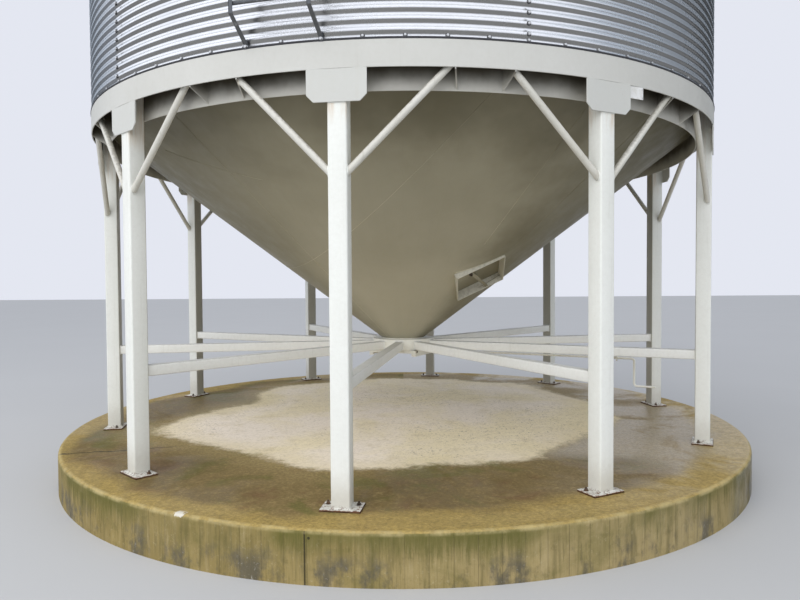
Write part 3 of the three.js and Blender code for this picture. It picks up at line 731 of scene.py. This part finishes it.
def concrete():
    """Cast concrete for the plinth, with its worn rim, a chip in it and a rough surface."""
    look = Look("concrete")
    radius, azimuth, height = look.radius(), look.azimuth(), look.place.axis("Z")
    wavy = look.noise(1.1, 2, 0.4) + look.noise(9).sway(0.03)
    fine, grit = look.noise(14, 6, 0.72), look.noise(120, 4, 0.8)
    scatter, zones = look.noise(46, 5, 0.8), look.noise(1.9, 5, 0.65, distortion=0.7)
    right = azimuth + wavy.sway(0.25)
    top, dry = concrete_top(look, azimuth, radius, wavy, fine, grit, scatter, zones, right)
    face, boards = concrete_side(look, azimuth, height, fine, grit, scatter, zones)
    side = look.normal().axis("Z").ramp(0.75, 0.45)
    worn = (radius.ramp(PLINTH_EDGE - 0.035, PLINTH_EDGE - 0.012) * height.ramp(PAD - 0.03, PAD - 0.012)
            * look.noise(7, 4, 0.7).span(0.35, 0.65, 0.05, 0.6))
    chip_x = (azimuth - RIM_CHIP) * (PLINTH_EDGE / CHIP_WIDTH)
    chip_z = (height - (PAD - 0.004)) * (1 / CHIP_HEIGHT)
    chip = chip_x * chip_x + chip_z * chip_z + look.noise(34, 3, 0.7).span(0.3, 0.7, -0.4, 0.8)
    chip = chip.ramp(1.2, 0.8) * radius.ramp(PLINTH_EDGE - 0.06, PLINTH_EDGE - 0.03)
    colour = look.coats(top, (side, face), (worn, (0.56, 0.455, 0.22)), (chip * 0.85, (0.72, 0.69, 0.6)))
    damp = look.noise(0.9, 5, 0.6, distortion=0.6).ramp(0.42, 0.56) * (1 - dry)
    rough = 0.9 - damp * right.span(0.3, 0.9, 0.36, 0.58) + fine.sway(0.05, 0.3)
    normal = look.bump(fine * 0.6 + grit * 0.35, 0.006, 0.55)
    normal = look.bump(boards, 0.004, side * 0.6, normal)
    return look.finish(colour, rough, normal, specular=0.25)


def worn_steel(name, light, dark, rust):
    """Bare steel with a brown film of rust."""
    look = Look(name)
    tone, patch = look.noise(22, 4, 0.65), look.noise(11, 5, 0.7)
    colour = look.mix(tone.ramp(0.35, 0.65), dark, light)
    colour = look.mix(patch.ramp(0.46, 0.66, rust), colour, RUST)
    normal = look.bump(look.noise(190), 0.0006, 0.5)
    return look.finish(colour, patch.span(0.4, 0.7, 0.38, 0.78), normal, patch.span(0.46, 0.66, 0.85, 0.35))


def sealant():
    look = Look("sealant")
    tone = look.noise(20)
    colour = look.mix(tone, (0.03, 0.03, 0.034), (0.06, 0.06, 0.065))
    return look.finish(colour, tone.span(0.3, 0.7, 0.55, 0.8), look.bump(tone, 0.002, 0.5))


def coated_plate():
    look = Look("plate_white")
    tone = look.noise(30, 4, 0.65)
    colour = look.mix(tone.ramp(0.35, 0.7), (0.78, 0.78, 0.76), (0.66, 0.65, 0.6))
    return look.finish(colour, tone.span(0.3, 0.7, 0.35, 0.5), look.bump(tone, 0.0005, 0.3))


LEG_PAINT = paint("leg_paint", (0.83, 0.838, 0.78), (0.795, 0.803, 0.742), (0.52, 0.495, 0.42), 0.65, 0.45,
                  leg=True)
BAND_PAINT = paint("band_paint", (0.59, 0.586, 0.542), (0.558, 0.554, 0.508), (0.44, 0.42, 0.355), 0.35, 0.45,
                   channel=True)
BRACE_PAINT = paint("brace_paint", (0.69, 0.675, 0.61), (0.61, 0.59, 0.51), (0.33, 0.3, 0.22), 0.8, 0.9,
                    dust_and_shade=0.45)
FRAME_PAINT = paint("frame_paint", (0.88, 0.87, 0.79), (0.81, 0.795, 0.7), (0.43, 0.395, 0.3), 0.8, 0.6)
TIE_PAINT = paint("tie_paint", (0.86, 0.862, 0.815), (0.825, 0.825, 0.77), (0.47, 0.445, 0.37), 0.6, 0.4,
                  dust_and_shade=0.3)
HATCH_PAINT = paint("hatch_paint", (0.69, 0.665, 0.56), (0.6, 0.575, 0.47), (0.33, 0.3, 0.21), 0.6, 1,
                    dust_and_shade=0.45)
CONE_PAINT = cone_paint("cone_paint")
# the cone paint made 1.55 times lighter: a painted highlight along the weld beads
CONE_WELD_HIGHLIGHT = cone_paint("cone_weld_highlight_paint", 1.55)
GALVANISED = galvanised("galvanised", (0.88, 0.89, 0.9), (0.74, 0.76, 0.79), 0.85, 0.25, 0.8, bluer_left_sheet=True)
ROOF_METAL = galvanised("roof_metal", (0.72, 0.74, 0.77), (0.58, 0.61, 0.64), 0.2, 0.3, 0.92)
LADDER_METAL = galvanised("ladder_metal", (0.12, 0.127, 0.135), (0.08, 0.087, 0.095), 0.2, 0.48, 0.5)
BOLT_METAL = galvanised("bolt_metal", (0.62, 0.63, 0.64), (0.5, 0.51, 0.52), 0.95, 0.35, 0.35)
CONCRETE = concrete()
BARE_STEEL = worn_steel("bare_steel", (0.26, 0.25, 0.23), (0.1, 0.09, 0.08), 0.4)
ANCHOR_STEEL = worn_steel("anchor_steel", (0.17, 0.14, 0.11), (0.07, 0.052, 0.04), 0.55)
# rust, and a painted shadow, for the bead round each foot plate's lower edge
SEAM_RUST_AND_SHADOW = worn_steel("seam_rust_and_shadow", (0.09, 0.055, 0.03), (0.035, 0.022, 0.014), 0.3)
SEALANT = sealant()
PLATE_WHITE = coated_plate()


# Legs and tie beams

def add_brace(shape, x):
    """A knee brace from inside the post to the stiffener at x, and its welds."""
    share = (abs(x) - STIFFENER_PLATE / 2 - GAP - BRACE_START.x) / BRACE_RUN.x
    side = Vector((copysign(1, x), 1, 1))
    low, high = BRACE_START * side, (BRACE_START + BRACE_RUN * share) * side
    direction = (high - low).normalized()

    def ring(centre, radius, count):
        return [facing(centre, direction) @ Vector(p) for p in circle(radius, count)]

    def cut_off(points, plane):
        return [p + direction * ((plane - p.x) / direction.x) for p in points]

    start, end = (ring(centre, BRACE_RADIUS, 28) for centre in (low - direction * 0.012, high))
    shape.add((start + cut_off(end, high.x), skin(2, 28)), material=1)
    for centre, step in ((low, 0.001), (high, -0.001)):
        bead = cut_off(ring(centre, BRACE_RADIUS + 0.001, 30), centre.x + copysign(step, x))
        shape.add(weld(bead, 0.0042, closed=True))


def leg_shape(left, right):
    """A leg at the front: rounded post, foot plate, head gusset, two knee braces and their welds."""
    shape = Shape()
    foot = PAD + GAP
    half = LEG_SIZE / 2
    to_leg = Matrix.Translation((0, -LEG_CENTRE, 0))
    shape.add(square_tube(LEG_SIZE, LEG_CORNER, foot, RING_SHELF - GAP), to_leg)
    x, y = FOOT_LENGTH / 2, FOOT_DEPTH / 2
    plate = rounded_outline(rectangle(-x, x, -y, y), 0.004)
    shape.add(prism(plate, foot, foot + FOOT_PLATE, 0.0012), to_leg)

    top = RING_BOTTOM - GAP
    bottom = top - GUSSET_HEIGHT
    side = GUSSET_WIDTH / 2
    slope = bottom + GUSSET_CHAMFER
    outline = [(-side, top), (-side, slope), (-side + GUSSET_CHAMFER, bottom), (side - GUSSET_CHAMFER, bottom),
               (side, slope), (side, top)]
    plate = prism(rounded_outline(outline, 0.003, 1), 0, GUSSET_PLATE, 0.001)
    shape.add(in_frame(plate, (0, -GUSSET_FACE + GUSSET_PLATE, 0), FRONT_AXES))
    for x in (-left, right):
        add_brace(shape, x)
        corner, edge = copysign(half + 0.001, x), -LEG_OUTER + 0.003
        shape.add(weld_line((corner, edge, bottom + 0.004), (corner, edge, top - 0.006), 0.0042))
    for reach, y, z, bead in ((side - 0.004, -GUSSET_FACE + 0.003, top + 0.0005, 0.0034),
                              (half - 0.006, -LEG_OUTER - 0.001, bottom - 0.001, 0.004)):
        shape.add(weld_line((-reach, y, z), (reach, y, z), bead))
    reach = half + 0.0015
    square = rectangle(-reach, reach, -LEG_CENTRE - reach, -LEG_CENTRE + reach)
    weld_round(shape, [(x, y, foot + FOOT_PLATE + 0.001) for x, y in square], 0.005)
    return shape


def foot_bolts():
    """Anchor bolts at both ends of each foot plate; a dark bead round its foot stands for rust and painted
    shadow.
    """
    places = []
    seams = Shape()
    x, y = FOOT_LENGTH / 2, FOOT_DEPTH / 2
    rim = [Vector((*p, PAD + 0.002)) for p in rectangle(-x, x, -y - LEG_CENTRE, y - LEG_CENTRE)]
    for azimuth, _, _ in LEGS:
        for side in (-ANCHOR_SIDE, ANCHOR_SIDE):
            place = Vector((side, -LEG_CENTRE + ANCHOR_INWARDS, PAD + GAP + FOOT_PLATE))
            places.append((turned(azimuth) @ place, (0, 0, 1)))
        for i in range(4):
            seams.add(tube(along(rim[i - 1], rim[i], 0.03), 0.0028, 6), turned(azimuth))
    form = hex_bolt(0.02, 0.011, 0.016, 0.002, stub=0.012)
    bolts(places, form).piece("foot_bolts", ANCHOR_STEEL, "bare_steel")
    seams.piece("foot_seams", SEAM_RUST_AND_SHADOW, "bare_steel")


def legs():
    for i, (azimuth, left, right) in enumerate(LEGS, 1):
        leg = leg_shape(left, right).moved(turned(azimuth))
        leg.piece(f"leg_look_{i:02d}", (LEG_PAINT, BRACE_PAINT), "painted_steel", stands_for=(f"leg_{i:02d}",))
    foot_bolts()


def tie_beams():
    """Square tubes with rounded corners, and the beads round both ends."""
    inner, outer = HUB_RADIUS + GAP, LEG_INNER - GAP
    middle = TIE_BOTTOM + TIE_SIZE / 2
    beam = in_frame(square_tube(TIE_SIZE, TIE_CORNER, inner, outer), (0, 0, middle), FRONT_AXES)
    reach = TIE_SIZE / 2 + 0.001
    for i, (azimuth, _, _) in enumerate(LEGS, 1):
        shape = Shape().add(beam, turned(azimuth))
        for y in (-inner - 0.001, -outer + 0.001):
            square = rectangle(-reach, reach, middle - reach, middle + reach)
            weld_round(shape, [(x, y, z) for x, z in square], 0.0036, turned(azimuth))
        shape.piece(f"tie_look_{i:02d}", TIE_PAINT, "painted_steel", stands_for=(f"tie_beam_{i:02d}",))


# Ring beam, hub and hopper

def ring_beam():
    """The channel-shaped ring with its upright flange, and the stiffeners inside it."""
    outer, inner, ease = RING_RADIUS, RING_RADIUS - RING_DEPTH, 0.0015
    top, shelf, low, skirt, plate = RING_TOP, RING_SHELF, RING_BOTTOM, SKIRT_BOTTOM, RING_PLATE
    profile = [
        (outer - ease, low), (outer, low + ease), (outer, top - ease), (outer - ease, top),
        (UPRIGHT_OUTER, top), (UPRIGHT_OUTER, top + UPRIGHT_HEIGHT), (UPRIGHT_INNER, top + UPRIGHT_HEIGHT),
        (UPRIGHT_INNER, top), (inner - plate, top), (inner - plate, skirt + ease),
        (inner - plate + ease, skirt), (inner - ease, skirt), (inner, skirt + ease), (inner, shelf),
        (outer - plate, shelf), (outer - plate, low + ease), (outer - plate + ease, low),
    ]
    half = STIFFENER_PLATE / 2
    shape = Shape().add(lathe(profile, 240))
    for azimuth, left, right in LEGS:
        for x in (-left, right):
            near, far = (-sqrt(r ** 2 - x * x) for r in (inner - 0.002, outer - 0.006))
            outline = [(far, shelf), (far, low - 0.008), (near, skirt + 0.008), (near, shelf)]
            shape.add(in_frame(prism(outline, -half, half), (x, 0, 0), SIDE_AXES), turned(azimuth))
            for edge in (x - half, x + half):
                y = -sqrt(inner ** 2 - edge * edge) - 0.001
                bead = weld_line((edge, y, skirt + 0.012), (edge, y, shelf - 0.004), 0.0035)
                shape.add(bead, turned(azimuth))
    for radius in (inner, outer - plate):
        shape.add(weld_ring(radius - 0.0005, shelf - 0.001, 0.004, 0.02))
    shape.piece("ring_beam_look", BAND_PAINT, "painted_steel", stands_for=("ring_beam",))


def cone_height(radius):
    return CONE_APEX + radius * tan(CONE_SLOPE)


def on_cone(radius, azimuth, lift):
    """A point on the hopper's outer face, moved off it by lift."""
    r = radius + lift * sin(CONE_SLOPE)
    return polar(r, azimuth, cone_height(radius) - lift * cos(CONE_SLOPE))


# Radial seams: azimuth, and the radius at which each starts. Straight seams across the unrolled sheet:
# two points as (x, y) from the apex
RADIAL_SEAMS = ((-39.5, 0.24), (30, 1.32), (46, 1.32), (112, 0.24), (176, 0.24), (248, 0.24))
STRAIGHT_SEAMS = (((0.69, 3.195), (-1.273, 0.606)), ((-1.926, 2.117), (-1.038, 2.17)))
SEAM_LIFT = 0.0002


def hopper():
    """The weld seams of the hopper's sheet, and the bead that joins it to the ring."""
    shape = Shape()
    for azimuth, start in RADIAL_SEAMS:
        run = CONE_HIGH - 0.01 - start
        shape.add(weld([on_cone(start + run * s / 240, azimuth, SEAM_LIFT) for s in range(241)], 0.0017, 5))
    for (x0, y0), (x1, y1) in STRAIGHT_SEAMS:
        path = []
        for s in range(301):
            x, y = x0 + (x1 - x0) * s / 300, y0 + (y1 - y0) * s / 300
            radius, azimuth = hypot(x, y) * cos(CONE_SLOPE), degrees(atan2(x, y)) / cos(CONE_SLOPE)
            path.append(on_cone(min(radius, CONE_HIGH - 0.004), azimuth, SEAM_LIFT))
        shape.add(weld(path, 0.002, 5))
    top = [on_cone(CONE_HIGH - 0.001, 360 * k / 900, 0.001) for k in range(900)]
    shape.add(weld(top, 0.0045, 5, closed=True))
    shape.piece("cone_welds", CONE_WELD_HIGHLIGHT, "cone_paint")


def hub():
    """The ring where the tie beams meet, and the bead round its bore."""
    outer, low, top, ease = HUB_RADIUS, HUB_BOTTOM, HUB_TOP, 0.0012
    profile = [
        (outer - ease, low), (outer, low + ease), (outer, top - ease), (outer - ease, top), (HUB_BORE, top),
        (HUB_BORE, top - HUB_FLANGE), (outer - HUB_PLATE, top - HUB_FLANGE), (outer - HUB_PLATE, low),
    ]
    shape = Shape().add(lathe(profile, 96))
    shape.add(weld_ring(HUB_BORE + 0.003, top + 0.001, 0.005, 0.012))
    shape.piece("hub_look", FRAME_PAINT, "painted_steel", stands_for=("hub_ring",))


def hatch_fittings():
    """The clamp's nut and stud end, and the bead round the frame's foot on the cone."""
    on_hatch = (turned(HATCH_AZIMUTH) @ Matrix.Translation((0, -HATCH_RADIUS, cone_height(HATCH_RADIUS)))
                @ Matrix.Rotation(pi - CONE_SLOPE, 4, "X") @ turned(HATCH_TURN))
    nut = hex_bolt(0.026, 0.012, 0.018, 0.003, stub=0.01)
    Shape().add(nut, on_hatch @ Matrix.Translation(HATCH_NUT)).piece("hatch_nut", ANCHOR_STEEL, "bare_steel")
    x, y = HATCH_FOOT
    foot = [(*p, 0) for p in rectangle(-x, x, -y, y)]
    bead = Shape()
    for i, corner in enumerate(foot):
        path = [on_hatch @ p for p in along(corner, foot[i - 1], WELD_STEP)]
        path = [Vector((p.x, p.y, cone_height(hypot(p.x, p.y)) - 0.001)) for p in path]
        bead.add(weld(path, 0.0035))
    bead.piece("hatch_weld", CONE_WELD_HIGHLIGHT, "cone_paint")


# Crank and small fixings

def bent_path(places, bend, steps):
    """A path through places, with a curve that starts bend before each inner one."""
    path = [Vector(places[0])]
    for before, corner, after in zip(places, places[1:], places[2:]):
        corner = Vector(corner)
        start = corner + (Vector(before) - corner).normalized() * bend
        end = corner + (Vector(after) - corner).normalized() * bend
        for s in range(steps + 1):
            t = s / steps
            path.append(start * (1 - t) ** 2 + corner * (2 * t * (1 - t)) + end * t ** 2)
    path.append(Vector(places[-1]))
    return path


def crank():
    low = SHAFT_HEIGHT - CRANK_ARM
    places = [(SHAFT_OFFSET, y, z) for y, z in (
        (SHAFT_INNER_END, SHAFT_HEIGHT), (-CRANK_REACH, SHAFT_HEIGHT), (-CRANK_REACH, low),
        (-CRANK_REACH - CRANK_HANDLE, low))]
    shape = Shape().add(tube(bent_path(places, CRANK_BEND, 8), SHAFT_RADIUS, 20), turned(GATE_AZIMUTH))
    shape.piece("crank_look", FRAME_PAINT, "painted_steel", body="crank", stands_for=("gate_crank",))


def small_fixings():
    """Bolts on the gate frame's rails and the crank bracket, and the rivets of the small plate."""
    to_gate = turned(GATE_AZIMUTH)
    form = hex_bolt(0.013, 0.006, 0.01, 0.0015)
    gate = Shape()
    for x in GATE_BOLTS:
        for side in (-1, 1):
            place = Vector((x, side * GATE_RAIL_FACE, GATE_BOLT_HEIGHT))
            gate.add(form, to_gate @ facing(place, (0, side, 0), 15))
    for x in BRACKET_BOLTS:
        gate.add(MEDIUM_BOLT, to_gate @ facing((x, -BRACKET_RADIUS, BRACKET_FACE), (0, 0, -1), 20))
    gate.piece("gate_bolts", ANCHOR_STEEL, "bare_steel")
    rivets = Shape()
    rivet = tube([(0, 0, 0), (0, 0, 0.0012), (0, 0, 0.002)], [0.0035, 0.0033, 0.002], 12)
    for z in SIGN_RIVET_HEIGHTS:
        rivets.add(rivet, turned(LEGS[1][0]) @ facing((SIGN_RIVET_SIDE, -SIGN_FACE, z), (0, -1, 0)))
    rivets.piece("plate_rivets", BOLT_METAL, "galvanised")


# Ladder and round wall

def side_plate(outline, x0, x1):
    """An outline of (y, z) in the radial plane raised from x0 to x1."""
    return in_frame(prism(outline, x0, x1), (0, 0, 0), SIDE_AXES)


def wall_ladder():
    """Angle rails bent back to bolted feet, stand-off arms with bolts, and round rungs."""
    shape, fixings = Shape(), Shape()
    outer, inner = -LADDER_FACE, -LADDER_FACE + LADDER_DEPTH
    wall = -sqrt(WAVE_CREST ** 2 - LADDER_HALF ** 2) - 0.001
    sheet, half, foot, bend, top = LADDER_SHEET, LADDER_FLANGE_HALF, LADDER_FOOT, LADDER_BEND, LADDER_TOP
    for side in (-1, 1):
        x = side * LADDER_HALF
        web = [(inner, top), (outer, top), (outer, bend), (wall - 0.016, foot + 0.012), (wall, foot + 0.012),
               (wall, foot + 0.04), (inner, bend + 0.012)]
        face = [(outer, top), (outer, bend), (wall - 0.006, foot + 0.006), (wall, foot + 0.006),
                (wall, foot + 0.012), (outer + sheet, bend + 0.002), (outer + sheet, top)]
        shape.add(side_plate(web, x - half, x - half + sheet))
        shape.add(side_plate(face, x - half, x + half))
        shape.add(box(x - 0.015, x + 0.015, wall - 0.003, wall, foot - 0.02, foot + 0.03))
        fixings.add(MEDIUM_BOLT, facing((x, wall - 0.003, foot - 0.004), (0, -1, 0), 10))
        for i in range(1, WALL_RINGS + 1):
            z = WALL_BOTTOM + i * COURSE_HEIGHT - ARM_BELOW_LAP
            shape.add(box(x - half, x - half + sheet, inner - 0.005, wall, z, z + 0.04))
            shape.add(box(x - half, x + half + 0.01, wall - 0.003, wall, z, z + 0.04))
            fixings.add(MEDIUM_BOLT, facing((x + 0.008, wall - 0.003, z + 0.02), (0, -1, 0), 25))
    z, y, reach = LADDER_FIRST_RUNG, outer + LADDER_DEPTH / 2, LADDER_HALF + 0.014
    while z < LADDER_TOP - 0.06:
        shape.add(tube([(-reach, y, z), (reach, y, z)], RUNG_RADIUS, 16))
        z += RUNG_SPACING
    place = turned(LADDER_AZIMUTH)
    shape.moved(place).piece("ladder_look", LADDER_METAL, "galvanised", stands_for=("wall_ladder",))
    fixings.moved(place).piece("ladder_bolts", BOLT_METAL, "galvanised")


def wave_radius(z, k):
    phase = (z - WALL_BOTTOM - k * COURSE_HEIGHT - FIRST_VALLEY) / WAVE_PITCH
    return WAVE_CREST - WAVE_DEPTH / 2 * (1 + cos(2 * pi * phase))


def seam_azimuths(k):
    """Where course k's sheets lap; every other course is shifted by half a sheet."""
    return [SEAM_AZIMUTH + SHEET_ANGLE / 2 * (k % 2) + SHEET_ANGLE * s for s in range(SHEETS)]


def wall_ring(k):
    """A course of lapped corrugated sheets, with a finer mesh for the one near the camera."""
    rows_a_wave, columns = (8, 36) if k == 0 else (6, 24)
    lap, course, nudge = 0.0018, 0.0012 * (k % 2), 0.004
    bottom = WALL_BOTTOM + k * COURSE_HEIGHT
    rows = round(COURSE_HEIGHT / WAVE_PITCH * rows_a_wave)
    top = bottom + COURSE_HEIGHT - GAP
    heights = [bottom + (top - bottom) * i / rows for i in range(rows + 1)]
    sections = []
    for first in seam_azimuths(k):
        for c in range(columns + 1):
            azimuth = first + SHEET_ANGLE * c / columns + (nudge if c == 0 else 0)
            offset = lap * (1 - c / columns)
            outer = [wave_radius(z, k) + offset + course for z in heights]
            sections.append([polar(r, azimuth, z) for r, z in zip(outer, heights)]
                            + [polar(r - WALL_SHEET, azimuth, z) for r, z in zip(outer[::-1], heights[::-1])])
    Shape().add(hoop(sections)).piece(f"wall_look_{k + 1:02d}", GALVANISED, "galvanised",
                                      stands_for=(f"wall_ring_{k + 1:02d}",), sharp=50)


def wall_bolts():
    """Bolts on dark washers round each course's lower edge and the eave, and up each lap seam."""
    washer = tube([(0, 0, -0.002), (0, 0, 0.0015), (0, 0, 0.0022)], [0.0135, 0.0135, 0.012], 16)
    points, faces = hex_bolt(0.0145, 0.0058, 0.0088, 0.0012)
    head = [(x, y, z + 0.0022) for x, y, z in points], faces
    waves = int((COURSE_HEIGHT - FIRST_VALLEY) / WAVE_PITCH)
    for k in range(WALL_RINGS):
        valley = WALL_BOTTOM + k * COURSE_HEIGHT + FIRST_VALLEY
        spots = []
        for i in range(BOLTS_ROUND):
            azimuth = BOLT_AZIMUTH + 360 * i / BOLTS_ROUND
            spots.append((wave_radius(valley, k) + 0.001, azimuth, valley))
            if k == WALL_RINGS - 1:
                spots.append((WAVE_CREST + 0.001, azimuth, EAVE - EAVE_BOLTS_BELOW))
        for azimuth in seam_azimuths(k):
            for w in range(waves):
                spots.append((WAVE_CREST + 0.002, azimuth + SEAM_BOLT_ANGLE, valley + (w + 0.5) * WAVE_PITCH))
        places = [(polar(*spot), polar(1, spot[1], 0)) for spot in spots]
        bolts(places, head).piece(f"wall_bolts_{k + 1:02d}", BOLT_METAL, "galvanised")
        bolts(places, washer).piece(f"wall_washers_{k + 1:02d}", SEALANT, "galvanised")


def ring_sealant():
    """The dark bead in the joint between the sheet and the ring beam."""
    path = [polar(WAVE_CREST - 0.0005, k, RING_TOP + 0.0065) for k in range(360)]
    Shape().add(tube(path, 0.0072, 8, closed=True)).piece("ring_sealant", SEALANT, "painted_steel")


# Plinth

def plinth():
    """The plinth with a softly rounded rim, as rings of points from the middle of its top."""
    segments, arc_steps = 240, 4
    profile = [(r, PAD) for r in (0.4, 0.8, 1.2, 1.6, 2.0, 2.4, 2.7, 2.85, PLINTH_EDGE - 0.06)]
    for s in range(arc_steps + 1):
        a = pi / 2 * s / arc_steps
        profile.append((PLINTH_EDGE - PLINTH_ROUND * (1 - sin(a)), PAD - PLINTH_ROUND * (1 - cos(a))))
    profile += [(PLINTH_EDGE, PAD * f) for f in (0.75, 0.5, 0.25, 0.0)]
    points = [Vector((0, 0, PAD))]
    for r, z in profile:
        points.extend(polar(r, 360 * k / segments, z) for k in range(segments))
    points.append(Vector((0, 0, 0)))
    last = 1 + (len(profile) - 1) * segments
    faces = [(1 + k, 1 + (k + 1) % segments, 0) for k in range(segments)]
    faces.extend(tuple(i + 1 for i in reversed(f)) for f in ring_faces(len(profile), segments))
    faces.extend((len(points) - 1, last + (k + 1) % segments, last + k) for k in range(segments))
    Shape().add((points, faces)).piece("plinth_look", CONCRETE, "concrete", stands_for=("plinth",), sharp=60)


# CAD nodes that keep their shape

def ease_edges(node):
    """Rounds a CAD node's sharp edges with modifiers, which leave its own mesh as it is."""
    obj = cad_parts[node]
    obj.modifiers.new("weld", "WELD").merge_threshold = 0.00005
    bevel = obj.modifiers.new("bevel", "BEVEL")
    bevel.width = 0.001
    bevel.segments = 2
    bevel.limit_method = "ANGLE"
    bevel.angle_limit = radians(40)


def finish_nodes():
    for material, nodes in (
        (FRAME_PAINT, ("gate_frame", "crank_bracket")),
        (HATCH_PAINT, ("hatch_frame",)),
        (CONE_PAINT, ("hopper_cone", "outlet_collar", "hatch_door")),
        (BARE_STEEL, ("slide_gate", "gate_pinion_01", "gate_pinion_02")),
        (PLATE_WHITE, ("sign_plate",)),
        (ROOF_METAL, ("roof_shell", "peak_collar", "peak_cap", "roof_hatch")),
    ):
        for node in nodes:
            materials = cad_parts[node].data.materials
            materials.clear()
            materials.append(material)
    for node in ("gate_frame", "crank_bracket", "hatch_frame", "hatch_door", "sign_plate", "roof_hatch"):
        ease_edges(node)


# Stage: floor, sky, lamps and camera

SKY_COLOUR = (0.775, 0.8, 0.88)
SIDE_COLOUR = (0.62, 0.79, 1.0)
SIDE_DIMMING = 0.88
FRONT_LEVEL = 1.3
LOW_LEVEL = 0.4
LEFT_GLOW = 0.18
LAMP_TARGET = Vector((0, 0, 2))


def floor():
    half = 60
    mesh = bpy.data.meshes.new("floor")
    mesh.from_pydata([(x, y, 0) for x, y in rectangle(-half, half, -half, half)], [], [(0, 1, 2, 3)])
    look = Look("floor")
    tone = look.noise(0.4, 3, 0.5)
    colour = look.mix(tone, (0.49, 0.49, 0.48), (0.53, 0.53, 0.52))
    mesh.materials.append(look.finish(colour, tone.span(0.2, 0.8, 0.85, 0.95)))
    obj = linked("floor", mesh)


def sky():
    """Even pale light, softer from low down on both sides, where the room behind would be dim."""
    world = bpy.data.worlds.new("sky")
    scene.world = world
    world.use_nodes = True
    nodes = Nodes(world.node_tree, "Generated")
    azimuth, height = nodes.azimuth(), nodes.place.axis("Z")
    not_behind = abs(azimuth).span(2.42, 2.58, 1, 0)
    right = azimuth.ramp(1.02, 1.32, 0.78) + azimuth.ramp(1.55, 1.95, 0.22)
    sides = (right + azimuth.ramp(-1.85, -2.25, 0.72)) * not_behind
    dim = sides * height.span(0.68, 0.92, 1, 0)
    front = height.span(0.02, 0.3, LOW_LEVEL - 1, FRONT_LEVEL - 1) + azimuth.ramp(-0.5, -1, LEFT_GLOW)
    strength = (1 - dim * SIDE_DIMMING) * (front * not_behind + 1)
    colour = nodes.mix(dim, SKY_COLOUR, SIDE_COLOUR)
    nodes.fill(world.node_tree.nodes["Background"], {"Color": colour, "Strength": strength})


def soft_lamp(name, place, size, power):
    data = bpy.data.lights.new(name, "AREA")
    data.shape = "DISK"
    data.size = size
    data.energy = power
    lamp = linked(name, data)
    lamp.matrix_world = facing(Vector(place), Vector(place) - LAMP_TARGET)
    lamp.visible_glossy = False


def camera():
    pitch, yaw, roll = (radians(v) for v in (CAMERA_PITCH, CAMERA_YAW, CAMERA_ROLL))
    forward = Vector((sin(yaw) * cos(pitch), cos(yaw) * cos(pitch), sin(pitch)))
    level = Vector((cos(yaw), -sin(yaw), 0))
    upright = level.cross(forward)
    right = level * cos(roll) + upright * sin(roll)
    up = upright * cos(roll) - level * sin(roll)
    data = bpy.data.cameras.new("camera")
    data.lens, data.sensor_width, data.clip_end = CAMERA_LENS, CAMERA_SENSOR, 200
    data.shift_x, data.shift_y = CAMERA_SHIFT
    obj = linked("camera", data)
    obj.matrix_world = Matrix.Translation(CAMERA_PLACE) @ Matrix((right, up, -forward)).transposed().to_4x4()
    scene.camera = obj


legs()
tie_beams()
ring_beam()
hopper()
hatch_fittings()
hub()
crank()
small_fixings()
wall_ladder()
for ring_index in range(WALL_RINGS):
    wall_ring(ring_index)
wall_bolts()
ring_sealant()
plinth()
finish_nodes()
floor()
sky()
soft_lamp("key", (-5.8, -12.2, 10.6), size=17, power=1400)
soft_lamp("fill", (13.0, -7.5, 6.0), size=10, power=190)
camera()
scene.view_settings.view_transform = "Standard"
